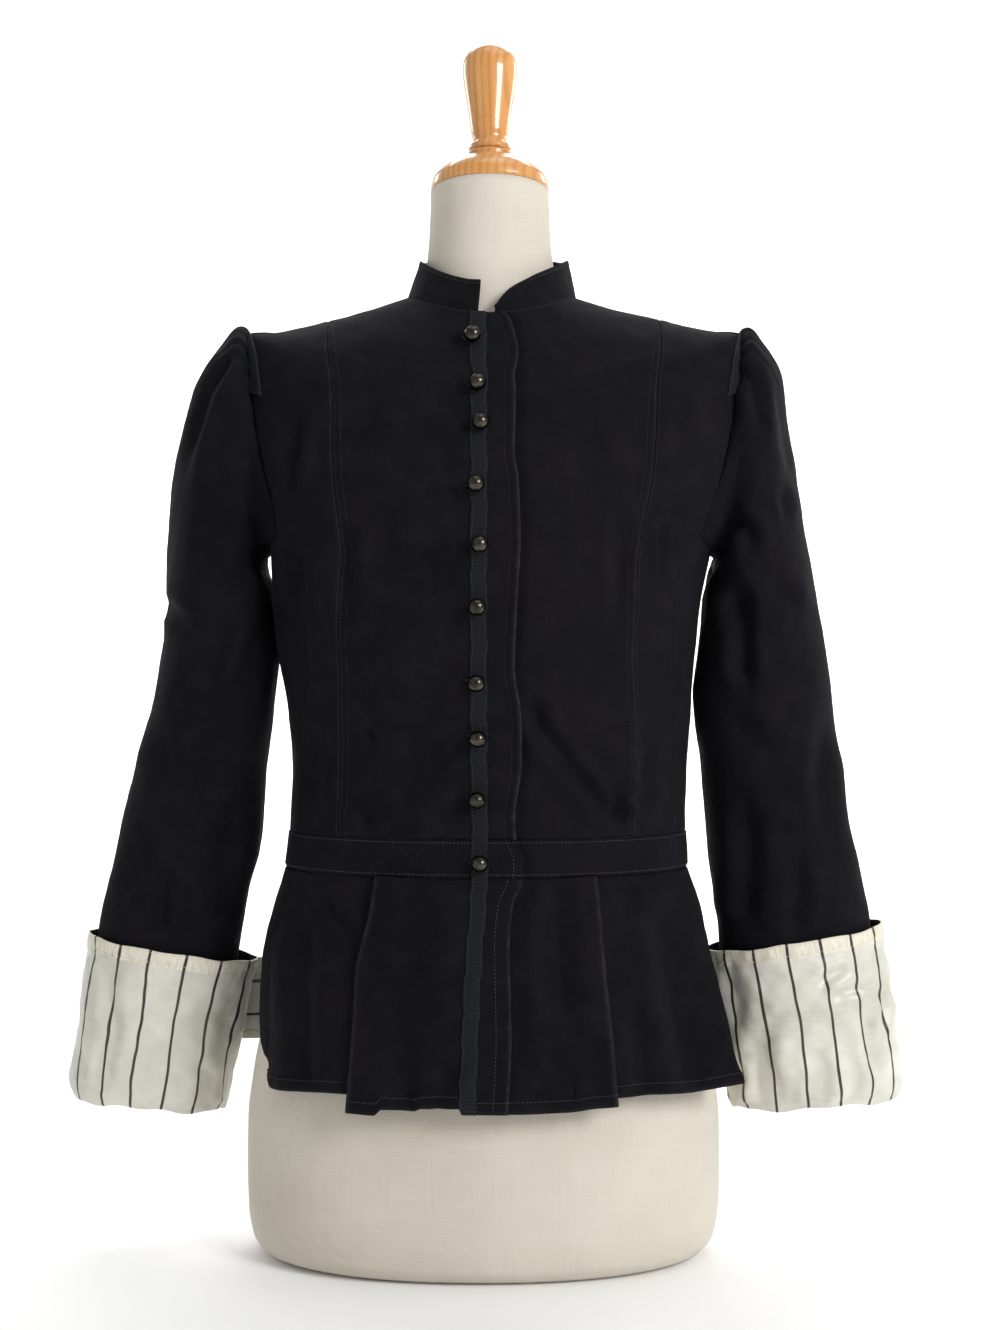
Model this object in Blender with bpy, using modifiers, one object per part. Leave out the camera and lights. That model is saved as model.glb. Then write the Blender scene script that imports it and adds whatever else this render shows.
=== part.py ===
# Military-style jacket of cotton twill, buttoned on a limbless dress form.
# Metres, +Z up. The front faces -Y. The origin is the middle of the form's flat underside.
# Right and left are the wearer's: right is at -X, left is at +X.

import math

import bpy
from mathutils import Vector

# Cloth
CLOTH = 0.0014
PEPLUM_CLOTH = 0.0010
RIBBON_THICK = 0.0010
CUFF_THICK = 0.0016
SEAM_GAP = 0.0004
LAY_GAP = 0.0004
LAP_STEP = 0.0024
RIDGE_GAP = 0.0009

# Heights of the waistband's two seams, the hem and the neckline at the side
WAIST_LOW = 0.302
WAIST_HIGH = 0.330
HEM = 0.1385
NECKLINE = 0.745
UNDERARM = 0.5450
ARMHOLE_CORNER = 0.5560

# The two fronts overlap: how far the under front reaches past the middle
UNDERLAP_REACH = 0.020

# Ribbon and buttons
RIBBON_WIDTH = 0.0125
BUTTON_RADIUS = 0.0064
BUTTON_SEGMENTS = 10
BUTTON_RINGS = 6

# Shoulder tapes: shares of the side front's width, the level of the lower end, and the lift
TAPE_ACROSS = (0.77, 0.955)
TAPE_DOWN_TO = 0.672
TAPE_LIFT = 0.0007

# Peplum pleats
PLEAT_OUTER = 0.0023
PLEAT_UNDER = -0.0012
PLEAT_DEPTH_WAIST = 0.012
PLEAT_DEPTH_HEM = 0.028
PLEAT_RELAX = 0.030
PLEAT_FOLD_HEM = 0.1010
PLEAT_FOLD_WAIST = 0.0870
PEPLUM_LAP = 0.0018
PEPLUM_LAP_ANGLE = 3.0
FRONT_PANEL_EDGE = 66.0
BACK_PANEL_EDGE = 57.0
BACK_SIDE_ANGLES = (82.0, 97.0, 111.0)
BACK_MIDDLE_ANGLE = 166.0
FLARE_LEFT = 0.012
FLARE_RIGHT = 0.003
BAND_SEAM = 100.0

# Form and its wood
CAP_TILT = 5.0
CAP_BASE_Z = 0.8294
NECK_X = 0.0014
FORM_COLUMNS = 28


class Table:
    # Rows of named columns, read along a smooth curve that never overshoots a row.
    def __init__(self, columns, rows):
        self.columns = columns
        self.rows = sorted(rows, key=lambda row: row[0])
        self.keys = [row[0] for row in self.rows]

    def at(self, column, key):
        index = self.columns.index(column)
        values = [row[index] for row in self.rows]
        return smooth_value(self.keys, values, key)


def smooth_value(keys, values, key):
    if key <= keys[0]:
        return values[0]
    if key >= keys[-1]:
        return values[-1]
    steps = [keys[i + 1] - keys[i] for i in range(len(keys) - 1)]
    slopes = [(values[i + 1] - values[i]) / steps[i] for i in range(len(steps))]
    tangents = [slopes[0]]
    for i in range(1, len(slopes)):
        low, high = slopes[i - 1], slopes[i]
        tangents.append(0.0 if low * high <= 0 else 2.0 * low * high / (low + high))
    tangents.append(slopes[-1])
    i = max(k for k in range(len(steps)) if keys[k] <= key)
    t = (key - keys[i]) / steps[i]
    rise = (2 * t**3 - 3 * t**2 + 1) * values[i] + (3 * t**2 - 2 * t**3) * values[i + 1]
    bend = (t**3 - 2 * t**2 + t) * tangents[i] + (t**3 - t**2) * tangents[i + 1]
    return rise + steps[i] * bend


SECTION_COLUMNS = ("level", "half_width", "front", "back", "square", "over", "front_dip", "back_dip")

# Sections of the jacket's body. Level is the height at the side; towards the neck a section
# dips below it at the front and the back. Over is how far it sits to +X.
BODY = Table(SECTION_COLUMNS, [
    (0.3020, 0.1575, 0.1085, 0.0980, 2.15, -0.001, 0.0, 0.0),
    (0.3300, 0.1550, 0.1050, 0.0940, 2.15, 0.0000, 0.0, 0.0),
    (0.3750, 0.1548, 0.1070, 0.0920, 2.15, 0.0010, 0.0, 0.0),
    (0.4200, 0.1575, 0.1150, 0.0950, 2.20, 0.0010, 0.0, 0.0),
    (0.4700, 0.1630, 0.1250, 0.1010, 2.25, -0.0005, 0.0, 0.0),
    (0.5100, 0.1675, 0.1300, 0.1070, 2.30, 0.0000, 0.0, 0.0),
    (0.5525, 0.1735, 0.1300, 0.1120, 2.35, 0.0020, -0.0045, -0.0025),
    (0.6000, 0.1900, 0.1260, 0.1160, 2.40, 0.0040, -0.018, -0.005),
    (0.6500, 0.2000, 0.1180, 0.1170, 2.35, 0.0050, -0.035, -0.010),
    (0.6900, 0.1980, 0.1100, 0.1130, 2.30, 0.0055, -0.050, -0.018),
    (0.7155, 0.1920, 0.1000, 0.1080, 2.20, 0.0055, -0.0455, -0.0255),
    (0.7180, 0.1740, 0.0970, 0.1050, 2.18, 0.0055, -0.044, -0.023),
    (0.7220, 0.1530, 0.0940, 0.1020, 2.15, 0.0050, -0.041, -0.019),
    (0.7275, 0.1280, 0.0900, 0.0980, 2.10, 0.0045, -0.0375, -0.0155),
    (0.7375, 0.0900, 0.0820, 0.0830, 2.05, 0.0040, -0.0325, -0.0025),
    (0.7450, 0.0670, 0.0730, 0.0660, 2.00, 0.0030, -0.0225, 0.0120),
])

# Sections of the peplum, from the waist seam to the hem
PEPLUM = Table(SECTION_COLUMNS, [
    (0.1385, 0.1855, 0.1350, 0.1480, 2.20, -0.0040, 0.0, 0.0),
    (0.1800, 0.1820, 0.1300, 0.1400, 2.20, -0.0040, 0.0, 0.0),
    (0.2100, 0.1790, 0.1260, 0.1320, 2.20, -0.0045, 0.0, 0.0),
    (0.2335, 0.1760, 0.1225, 0.1250, 2.20, -0.0050, 0.0, 0.0),
    (0.2500, 0.1730, 0.1190, 0.1190, 2.20, -0.0040, 0.0, 0.0),
    (0.2650, 0.1695, 0.1160, 0.1130, 2.18, -0.0025, 0.0, 0.0),
    (0.2810, 0.1645, 0.1130, 0.1060, 2.15, -0.0015, 0.0, 0.0),
    (0.3020, 0.1575, 0.1085, 0.0980, 2.15, -0.0010, 0.0, 0.0),
])

# Sections of the dress form: a rounded foot, hips, waist, chest, limbless shoulders and neck
FORM = Table(SECTION_COLUMNS, [
    (0.0000, 0.1620, 0.0900, 0.1080, 2.15, -0.0035, 0.0, 0.0),
    (0.0050, 0.1730, 0.1000, 0.1185, 2.15, -0.0035, 0.0, 0.0),
    (0.0150, 0.1800, 0.1065, 0.1250, 2.15, -0.0035, 0.0, 0.0),
    (0.0350, 0.1838, 0.1100, 0.1290, 2.15, -0.0035, 0.0, 0.0),
    (0.0700, 0.1848, 0.1105, 0.1300, 2.15, -0.0035, 0.0, 0.0),
    (0.1050, 0.1845, 0.1105, 0.1300, 2.15, -0.0035, 0.0, 0.0),
    (0.1400, 0.1805, 0.1090, 0.1270, 2.15, -0.0035, 0.0, 0.0),
    (0.1800, 0.1735, 0.1070, 0.1200, 2.15, -0.0030, 0.0, 0.0),
    (0.2200, 0.1650, 0.1040, 0.1110, 2.15, -0.0030, 0.0, 0.0),
    (0.2600, 0.1565, 0.1000, 0.1000, 2.12, -0.0020, 0.0, 0.0),
    (0.3000, 0.1500, 0.0975, 0.0900, 2.10, -0.0010, 0.0, 0.0),
    (0.3350, 0.1470, 0.0940, 0.0855, 2.10, 0.0000, 0.0, 0.0),
    (0.3750, 0.1470, 0.0970, 0.0845, 2.10, 0.0010, 0.0, 0.0),
    (0.4200, 0.1500, 0.1050, 0.0875, 2.15, 0.0010, 0.0, 0.0),
    (0.4700, 0.1555, 0.1150, 0.0935, 2.20, -0.0005, 0.0, 0.0),
    (0.5100, 0.1600, 0.1200, 0.0995, 2.20, 0.0000, 0.0, 0.0),
    (0.5525, 0.1640, 0.1190, 0.1040, 2.20, 0.0010, -0.0045, -0.0025),
    (0.6000, 0.1680, 0.1150, 0.1080, 2.20, 0.0020, -0.018, -0.005),
    (0.6500, 0.1700, 0.1080, 0.1080, 2.20, 0.0030, -0.035, -0.012),
    (0.6880, 0.1640, 0.1010, 0.1040, 2.15, 0.0045, -0.052, -0.023),
    (0.7080, 0.1540, 0.0925, 0.0975, 2.10, 0.0048, -0.0440, -0.0190),
    (0.7168, 0.1420, 0.0890, 0.0945, 2.10, 0.0048, -0.0400, -0.0160),
    (0.7238, 0.1280, 0.0855, 0.0925, 2.10, 0.0045, -0.0395, -0.0165),
    (0.7338, 0.0900, 0.0780, 0.0785, 2.05, 0.0040, -0.0350, -0.0045),
    (0.7420, 0.0630, 0.0670, 0.0640, 2.00, 0.0022, -0.0265, 0.0055),
    (0.7550, 0.0535, 0.0575, 0.0555, 2.00, 0.0016, -0.020, 0.0070),
    (0.7750, 0.0495, 0.0510, 0.0505, 2.00, 0.0015, -0.010, 0.0040),
    (0.8000, 0.0475, 0.0485, 0.0480, 2.00, 0.0014, 0.0, 0.0),
    (0.8290, 0.0465, 0.0465, 0.0465, 2.00, 0.0014, 0.0, 0.0),
])

# Where the seams and edges run, as distance from the section's own middle
SEAMS = Table(("level", "princess", "armhole"), [
    (0.3020, 0.1110, 0.1440),
    (0.3300, 0.1120, 0.1425),
    (0.3750, 0.1105, 0.1415),
    (0.4200, 0.1100, 0.1400),
    (0.4700, 0.1090, 0.1390),
    (0.5100, 0.1090, 0.1400),
    (0.5350, 0.1070, 0.1460),
    (0.5560, 0.1075, 0.1580),
    (0.5800, 0.1140, 0.1655),
    (0.6050, 0.1185, 0.1715),
    (0.6300, 0.1190, 0.1770),
    (0.6550, 0.1190, 0.1825),
    (0.6750, 0.1195, 0.1860),
    (0.6910, 0.1200, 0.1885),
    (0.7040, 0.1215, 0.1905),
    (0.7155, 0.1245, 0.1920),
    (0.7275, 0.1280, 0.1280),
])

# The lapping front's free edge and the ribbon's middle line, as X
FRONT_LINES = Table(("level", "lap_edge", "ribbon"), [
    (0.1300, 0.0150, -0.0145),
    (0.2180, 0.0184, -0.0112),
    (0.2840, 0.0176, -0.0066),
    (0.3015, 0.0245, -0.0056),
    (0.3300, 0.0228, -0.0056),
    (0.4000, 0.0222, -0.0060),
    (0.6000, 0.0220, -0.0060),
    (0.7235, 0.0225, -0.0062),
    (0.7357, 0.0204, -0.0066),
    (0.7425, 0.0165, -0.0070),
    (0.7450, 0.0105, -0.0072),
])

# Levels of the grid rows. Towards the shoulder the rows fan out from the armhole's top.
SIDE_LEVELS = (0.3302, 0.350, 0.375, 0.400, 0.425, 0.450, 0.475, 0.500, 0.525, 0.556,
               0.585, 0.615, 0.645, 0.672, 0.692, 0.704, 0.709, 0.7125, 0.7155)
FAN_LEVELS = {0.672: 0.673, 0.692: 0.697, 0.704: 0.7145, 0.709: 0.7205, 0.7125: 0.7245, 0.7155: 0.7275}
SHOULDER_TOP = 0.7275
NOT_IN_SLEEVE = 0.7125
NECK_LEVELS = (0.7335, 0.7395, 0.7447)
PEPLUM_LEVELS = (0.0, 0.28, 0.55, 0.78, 0.92, 1.0)
UNDERARM_COLUMNS = 6
PRINCESS_COLUMNS = 5

# Buttons: X and height of each, from the collar down
BUTTONS = (
    (-0.0100, 0.6983), (-0.0074, 0.6620), (-0.0046, 0.6319), (-0.0079, 0.5867), (-0.0050, 0.5445),
    (-0.0070, 0.5001), (-0.0076, 0.4465), (-0.0065, 0.4060), (-0.0072, 0.3598), (-0.0052, 0.3120),
)

# Collar: height along the neckline by angle (0 is the front middle, positive to +X)
COLLAR = Table(("angle", "height"), [
    (-9.0, 0.0310), (-40.0, 0.0320), (-90.0, 0.0360), (-180.0, 0.0385),
    (-270.0, 0.0360), (-300.0, 0.0310), (-320.0, 0.0240), (-335.0, 0.0150),
    (-348.0, 0.0070), (-358.0, 0.0016),
])
COLLAR_TOP_HALF = 0.0575
COLLAR_TOP_FRONT = 0.0640
COLLAR_TOP_BACK = 0.0570
COLLAR_TOP_OVER = 0.0020
COLLAR_COLUMNS = 34
COLLAR_LIFT = 0.0007

# Sleeves: where the inner and outer lines of each section lie, as distance from X = 0,
# with the section's middle in Y and half its depth. The columns are inner_z, outer_z, inner,
# outer, middle_y and half_depth.
SLEEVE_RIGHT = (
    (0.5410, 0.7190, 0.1745, 0.1965, 0.000, 0.0700),
    (0.5310, 0.6900, 0.1755, 0.2205, 0.000, 0.0710),
    (0.5240, 0.6430, 0.1750, 0.2386, 0.000, 0.0680),
    (0.5100, 0.6000, 0.1735, 0.2470, 0.000, 0.0660),
    (0.4930, 0.5486, 0.1710, 0.2512, 0.000, 0.0645),
    (0.4700, 0.5000, 0.1672, 0.2525, 0.000, 0.0620),
    (0.4380, 0.4500, 0.1677, 0.2590, 0.000, 0.0570),
    (0.4068, 0.4118, 0.1707, 0.2683, 0.006, 0.0500),
    (0.3742, 0.3750, 0.1765, 0.2799, 0.014, 0.0440),
    (0.3423, 0.3423, 0.1797, 0.2901, 0.022, 0.0400),
    (0.3092, 0.3092, 0.1847, 0.2989, 0.029, 0.0365),
    (0.2769, 0.2769, 0.1936, 0.3072, 0.035, 0.0350),
    (0.2436, 0.2436, 0.1983, 0.3147, 0.039, 0.0340),
    (0.2031, 0.2051, 0.2043, 0.3220, 0.042, 0.0335),
    (0.1514, 0.1566, 0.2101, 0.3289, 0.043, 0.0330),
    (0.1020, 0.1125, 0.2148, 0.3341, 0.043, 0.0330),
)
SLEEVE_LEFT = (
    (0.5410, 0.7190, 0.1785, 0.2050, 0.000, 0.0700),
    (0.5310, 0.6900, 0.1785, 0.2270, 0.000, 0.0700),
    (0.5240, 0.6430, 0.1775, 0.2360, 0.000, 0.0650),
    (0.5100, 0.6000, 0.1750, 0.2430, 0.000, 0.0600),
    (0.4930, 0.5486, 0.1705, 0.2512, 0.000, 0.0560),
    (0.4700, 0.5000, 0.1655, 0.2600, 0.000, 0.0540),
    (0.4380, 0.4500, 0.1640, 0.2678, 0.000, 0.0520),
    (0.4068, 0.4118, 0.1650, 0.2736, 0.006, 0.0500),
    (0.3742, 0.3750, 0.1690, 0.2810, 0.014, 0.0470),
    (0.3423, 0.3423, 0.1734, 0.2862, 0.022, 0.0440),
    (0.3092, 0.3092, 0.1751, 0.2939, 0.029, 0.0410),
    (0.2769, 0.2769, 0.1814, 0.3022, 0.035, 0.0380),
    (0.2436, 0.2436, 0.1855, 0.3091, 0.039, 0.0360),
    (0.2031, 0.2051, 0.1894, 0.3164, 0.042, 0.0350),
    (0.1514, 0.1566, 0.1931, 0.3248, 0.043, 0.0340),
    (0.1040, 0.1125, 0.1988, 0.3315, 0.043, 0.0340),
)
SLEEVE_ROWS_BETWEEN = 1
GATHER_DEPTH = 0.0022
GATHER_REACH = 0.60

# Turned-back cuffs: sections above the fold, same columns as the sleeves
CUFF_RIGHT = (
    (0.1257, 0.1309, 0.2070, 0.3370, 0.043, 0.0375),
    (0.1720, 0.1823, 0.1983, 0.3320, 0.043, 0.0405),
    (0.2199, 0.2425, 0.1869, 0.3225, 0.045, 0.0440),
)
CUFF_LEFT = (
    (0.1257, 0.1309, 0.1931, 0.3345, 0.043, 0.0385),
    (0.1720, 0.1823, 0.1854, 0.3290, 0.043, 0.0420),
    (0.2281, 0.2501, 0.1761, 0.3180, 0.045, 0.0450),
)
CUFF_INSIDE = 0.014
CUFF_GAP = 0.0007
CUFF_TURN = 0.0012

# The end of the right cuff's under layer, which stands out towards the body
TAB_ANGLES = (248.0, 232.0, 214.0)
TAB_REACH = 0.030
TAB_LOW = 0.30
TAB_ROWS = 5


def power(value, exponent):
    return math.copysign(abs(value) ** exponent, value)


def lerp(low, high, share):
    return low + (high - low) * share


def section_point(table, theta, level):
    # A point of a rounded section: theta is 0 at the front middle and grows towards +X.
    s, c = math.sin(theta), math.cos(theta)
    exponent = 2.0 / table.at("square", level)
    depth = table.at("front" if c > 0 else "back", level)
    dip = table.at("front_dip" if c > 0 else "back_dip", level)
    x = table.at("over", level) + table.at("half_width", level) * power(s, exponent)
    return Vector((x, -depth * power(c, exponent), level + dip * c * c))


def section_normal(table, theta, level):
    across = section_point(table, theta + 0.01, level) - section_point(table, theta - 0.01, level)
    low, high = max(table.keys[0], level - 0.002), min(table.keys[-1], level + 0.002)
    up = section_point(table, theta, high) - section_point(table, theta, low)
    return across.cross(up).normalized()


def raised(table, theta, level, out):
    point = section_point(table, theta, level)
    if out:
        point += section_normal(table, theta, level) * out
    return point


def angle_from_middle(table, distance, level):
    # The front angle at which a section lies this far from its own middle
    share = min(1.0, abs(distance) / table.at("half_width", level))
    return math.copysign(math.asin(share ** (table.at("square", level) / 2.0)), distance)


def angle_at_x(table, x, level):
    return angle_from_middle(table, x - table.at("over", level), level)


def turn_for(table, theta, level, distance):
    # The change of angle that moves a point this far along its section
    span = (section_point(table, theta + 0.01, level) - section_point(table, theta - 0.01, level)).length
    return distance * 0.02 / span


def make_material(name, colour, roughness, metallic=0.0):
    material = bpy.data.materials.new(name)
    material.use_nodes = True
    shader = material.node_tree.nodes["Principled BSDF"]
    shader.inputs["Base Color"].default_value = (*colour, 1.0)
    shader.inputs["Roughness"].default_value = roughness
    shader.inputs["Metallic"].default_value = metallic
    material.diffuse_color = (*colour, 1.0)
    return material


def make_materials():
    return {
        "twill": make_material("black_cotton_twill", (0.013, 0.012, 0.016), 0.85),
        "ribbon": make_material("slate_grosgrain", (0.026, 0.029, 0.034), 0.75),
        "satin": make_material("striped_satin_lining", (0.60, 0.58, 0.51), 0.45),
        "linen": make_material("natural_linen", (0.72, 0.67, 0.59), 0.95),
        "beech": make_material("varnished_beech", (0.66, 0.30, 0.08), 0.25),
        "metal": make_material("antiqued_metal", (0.32, 0.28, 0.22), 0.35, 1.0),
    }


def new_object(name, mesh, material, collection):
    mesh.materials.append(material)
    piece = bpy.data.objects.new(name, mesh)
    collection.objects.link(piece)
    return piece


def grid_mesh(name, rows, closed=False, flip=False):
    # A loft through rows of points, each row with the same number of points
    count = len(rows[0])
    points = [tuple(point) for row in rows for point in row]
    faces = []
    for i in range(len(rows) - 1):
        for j in range(count if closed else count - 1):
            k = (j + 1) % count
            face = (i * count + j, i * count + k, (i + 1) * count + k, (i + 1) * count + j)
            faces.append(face[::-1] if flip else face)
    mesh = bpy.data.meshes.new(name)
    mesh.from_pydata(points, [], faces)
    mesh.update()
    return mesh


def cloth(name, rows, material, collection, thickness=CLOTH, closed=False, flip=False):
    # A cloth wall: the points are its outer face and the thickness goes inwards.
    piece = new_object(name, grid_mesh(name, rows, closed, flip), material, collection)
    wall = piece.modifiers.new("wall", "SOLIDIFY")
    wall.thickness = thickness
    wall.offset = -1.0
    piece.data.shade_smooth()
    return piece


def ridge_angle(table, level, gap):
    # The front angle that stops this far short of the shoulder seam
    depth = table.at("front", level)
    return math.pi / 2 - math.asin((gap / depth) ** (table.at("square", level) / 2.0))


def princess_angle(level):
    return min(angle_from_middle(BODY, SEAMS.at("princess", level), level),
               ridge_angle(BODY, level, RIDGE_GAP))


def armhole_angle(level):
    return min(angle_from_middle(BODY, SEAMS.at("armhole", level), level),
               ridge_angle(BODY, level, RIDGE_GAP))


def front_levels():
    return [FAN_LEVELS.get(level, level) for level in SIDE_LEVELS] + list(NECK_LEVELS)


def mirrored_row(row, side):
    # A row of angles and levels for one side; the right side runs the other way.
    return row if side > 0 else [(-theta, level, out) for theta, level, out in reversed(row)]


def to_back(row):
    # The same row on the back, where the angle is measured from the back middle
    return [(math.pi - theta, level, out) for theta, level, out in reversed(row)]


def place_rows(table, rows):
    return [[raised(table, theta, level, out) for theta, level, out in row] for row in rows]


def front_row(level, side, columns=PRINCESS_COLUMNS):
    # From the front edge to the princess seam. The right front laps over the left one.
    edge = FRONT_LINES.at("lap_edge", level)
    seam = princess_angle(level)
    if level > SHOULDER_TOP:
        seam = ridge_angle(BODY, level, RIDGE_GAP)
    seam -= turn_for(BODY, seam, level, SEAM_GAP / 2)
    if side > 0:
        ribbon = FRONT_LINES.at("ribbon", level)
        places = (ribbon - UNDERLAP_REACH, ribbon, edge - 0.010, edge + 0.002, edge + 0.014)
        row = [(angle_at_x(BODY, x, level), level, -LAP_STEP) for x in places[:4]]
        row.append((angle_at_x(BODY, places[4], level), level, 0.0))
        start = row[-1][0]
    else:
        start = -angle_at_x(BODY, 0.0, level)
        row = [(-angle_at_x(BODY, x, level), level, 0.0) for x in (edge, edge * 0.45)]
        row.append((start, level, 0.0))
    for step in range(1, columns + 1):
        row.append((lerp(start, seam, step / columns), level, 0.0))
    return mirrored_row(row, side)


def make_front(side, name, materials, collection):
    rows = place_rows(BODY, [front_row(level, side) for level in front_levels()])
    return cloth(name, rows, materials["twill"], collection)


def side_front_at(across, index):
    # Angle and level on the side front: across is 0 at the princess seam, 1 at the armhole.
    high, low = FAN_LEVELS.get(SIDE_LEVELS[index], SIDE_LEVELS[index]), SIDE_LEVELS[index]
    near = princess_angle(high)
    near += turn_for(BODY, near, high, SEAM_GAP / 2)
    far = armhole_angle(low)
    far -= turn_for(BODY, far, low, SEAM_GAP / 2)
    limit = ridge_angle(BODY, low, RIDGE_GAP)
    return min(lerp(near, far, across), limit), lerp(high, low, across)


def side_front_row(index):
    row = []
    for step in range(PRINCESS_COLUMNS + 1):
        theta, level = side_front_at(step / PRINCESS_COLUMNS, index)
        row.append((theta, level, 0.0))
    return row


def make_side_front(side, name, materials, collection):
    rows = [mirrored_row(side_front_row(i), side) for i in range(len(SIDE_LEVELS))]
    return cloth(name, place_rows(BODY, rows), materials["twill"], collection)


def make_side_back(side, name, materials, collection):
    rows = [mirrored_row(to_back(side_front_row(i)), side) for i in range(len(SIDE_LEVELS))]
    return cloth(name, place_rows(BODY, rows), materials["twill"], collection)


def make_back(materials, collection):
    rows = []
    for level in front_levels():
        seam = princess_angle(level) if level <= SHOULDER_TOP else ridge_angle(BODY, level, RIDGE_GAP)
        seam -= turn_for(BODY, seam, level, SEAM_GAP / 2)
        span = PRINCESS_COLUMNS * 2
        rows.append([(math.pi - lerp(seam, -seam, j / span), level, 0.0) for j in range(span + 1)])
    return cloth("back", place_rows(BODY, rows), materials["twill"], collection)


def underarm_level(across):
    # The armhole's lower edge dips to the underarm half way round the side.
    return ARMHOLE_CORNER - (ARMHOLE_CORNER - UNDERARM) * math.sin(math.pi * across)


def side_row(index):
    corner = SIDE_LEVELS.index(ARMHOLE_CORNER)
    row = []
    base = SIDE_LEVELS[index]
    near = armhole_angle(base)
    near += turn_for(BODY, near, base, SEAM_GAP / 2)
    for step in range(UNDERARM_COLUMNS + 1):
        across = step / UNDERARM_COLUMNS
        height = (base - SIDE_LEVELS[0]) / (SIDE_LEVELS[corner] - SIDE_LEVELS[0])
        level = lerp(SIDE_LEVELS[0], underarm_level(across) - SEAM_GAP / 2, height)
        row.append((lerp(near, math.pi - near, across), level, 0.0))
    return row


def make_side(side, name, materials, collection):
    corner = SIDE_LEVELS.index(ARMHOLE_CORNER)
    rows = [mirrored_row(side_row(i), side) for i in range(corner + 1)]
    return cloth(name, place_rows(BODY, rows), materials["twill"], collection)


def armhole_loop(side):
    # The seam line of the armhole, from the shoulder tip down the front, round the underarm
    # and up the back. It starts a seam's gap inside the panels' edges.
    corner = SIDE_LEVELS.index(ARMHOLE_CORNER)
    front = []
    for index in range(len(SIDE_LEVELS) - 1, corner - 1, -1):
        level = SIDE_LEVELS[index]
        if level == NOT_IN_SLEEVE:
            continue
        theta = armhole_angle(level)
        theta = min(theta + turn_for(BODY, theta, level, SEAM_GAP), math.pi / 2)
        front.append((theta, level + (SEAM_GAP if index == corner else 0.0)))
    front[0] = (math.pi / 2, SIDE_LEVELS[-1] - SEAM_GAP)
    under = []
    for step in range(1, UNDERARM_COLUMNS):
        across = step / UNDERARM_COLUMNS
        start = armhole_angle(ARMHOLE_CORNER)
        under.append((lerp(start, math.pi - start, across), underarm_level(across) + SEAM_GAP))
    back = [(math.pi - theta, level) for theta, level in reversed(front[1:])]
    return [section_point(BODY, theta * side, level) for theta, level in front + under + back]


def loop_angles(points):
    # The angle round the sleeve for each loop point: 0 at the shoulder, 180 at the underarm
    count = len(points)
    half = count // 2
    lengths = [(points[(i + 1) % count] - points[i]).length for i in range(count)]
    first, second = sum(lengths[:half]), sum(lengths[half:])
    angles = []
    run = 0.0
    for i in range(count):
        if i < half:
            angles.append(math.pi * run / first)
        else:
            angles.append(math.pi * (1 + (run - first) / second))
        run += lengths[i]
    return angles


def tube_ring(section, side, angles, grow=0.0, lower=0.0):
    inner_z, outer_z, inner, outer, middle_y, half_depth = section
    centre = Vector((side * (inner + outer) / 2, middle_y, (inner_z + outer_z) / 2 - lower))
    reach = Vector((side * (outer - inner) / 2, 0.0, (outer_z - inner_z) / 2))
    reach *= 1 + grow / reach.length
    front = Vector((0.0, -(half_depth + grow), 0.0))
    return [centre + reach * math.cos(a) + front * math.sin(a) for a in angles]


def curve_between(before, start, end, after, share):
    # A Catmull-Rom step, which keeps the sleeve's lines smooth through its sections
    t = share
    return 0.5 * (2 * start + (end - before) * t + (2 * before - 5 * start + 4 * end - after) * t**2
                  + (3 * start - before - 3 * end + after) * t**3)


def sleeve_rows(sections, side):
    loop = armhole_loop(side)
    angles = loop_angles(loop)
    rings = [loop] + [tube_ring(section, side, angles) for section in sections]
    gathered = []
    for j, angle in enumerate(angles):
        fade = max(0.0, math.cos(angle)) ** GATHER_REACH
        gathered.append(GATHER_DEPTH * fade * (1 if j % 2 else -1))
    centre = sum(rings[1], Vector()) / len(angles)
    for j, depth in enumerate(gathered):
        rings[1][j] += (rings[1][j] - centre).normalized() * depth
    rows = [rings[0]]
    for i in range(len(rings) - 1):
        before, after = rings[max(0, i - 1)], rings[min(len(rings) - 1, i + 2)]
        steps = SLEEVE_ROWS_BETWEEN + 1 if i < 2 else 1
        for step in range(1, steps + 1):
            share = step / steps
            rows.append([curve_between(before[j], rings[i][j], rings[i + 1][j], after[j], share)
                         for j in range(len(angles))])
    return rows, angles


def make_sleeve(side, name, sections, materials, collection):
    rows, angles = sleeve_rows(sections, side)
    cloth(name, rows, materials["twill"], collection, closed=True, flip=side < 0)
    return angles


def cuff_rows(sections, before_end, sleeve_end, side, angles):
    # Up inside the sleeve's end, round its edge, and up outside as the turned-back layer
    inside = -(CLOTH + CUFF_GAP + CUFF_THICK)
    outside = CUFF_GAP + CUFF_THICK
    below = CUFF_GAP + CUFF_THICK
    share = CUFF_INSIDE / (before_end[0] - sleeve_end[0])
    higher = [lerp(end, before, share) for end, before in zip(sleeve_end, before_end)]
    rows = [
        tube_ring(higher, side, angles, inside),
        tube_ring(sleeve_end, side, angles, inside),
        tube_ring(sleeve_end, side, angles, inside + CUFF_TURN, below),
        tube_ring(sleeve_end, side, angles, outside - CUFF_TURN, below),
        tube_ring(sleeve_end, side, angles, outside),
    ]
    rows += [tube_ring(section, side, angles) for section in sections]
    return rows


def make_cuff(side, name, sections, sleeve, angles, materials, collection):
    rows = cuff_rows(sections, sleeve[-2], sleeve[-1], side, angles)
    return cloth(name, rows, materials["satin"], collection, CUFF_THICK, closed=True, flip=side > 0)


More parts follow.
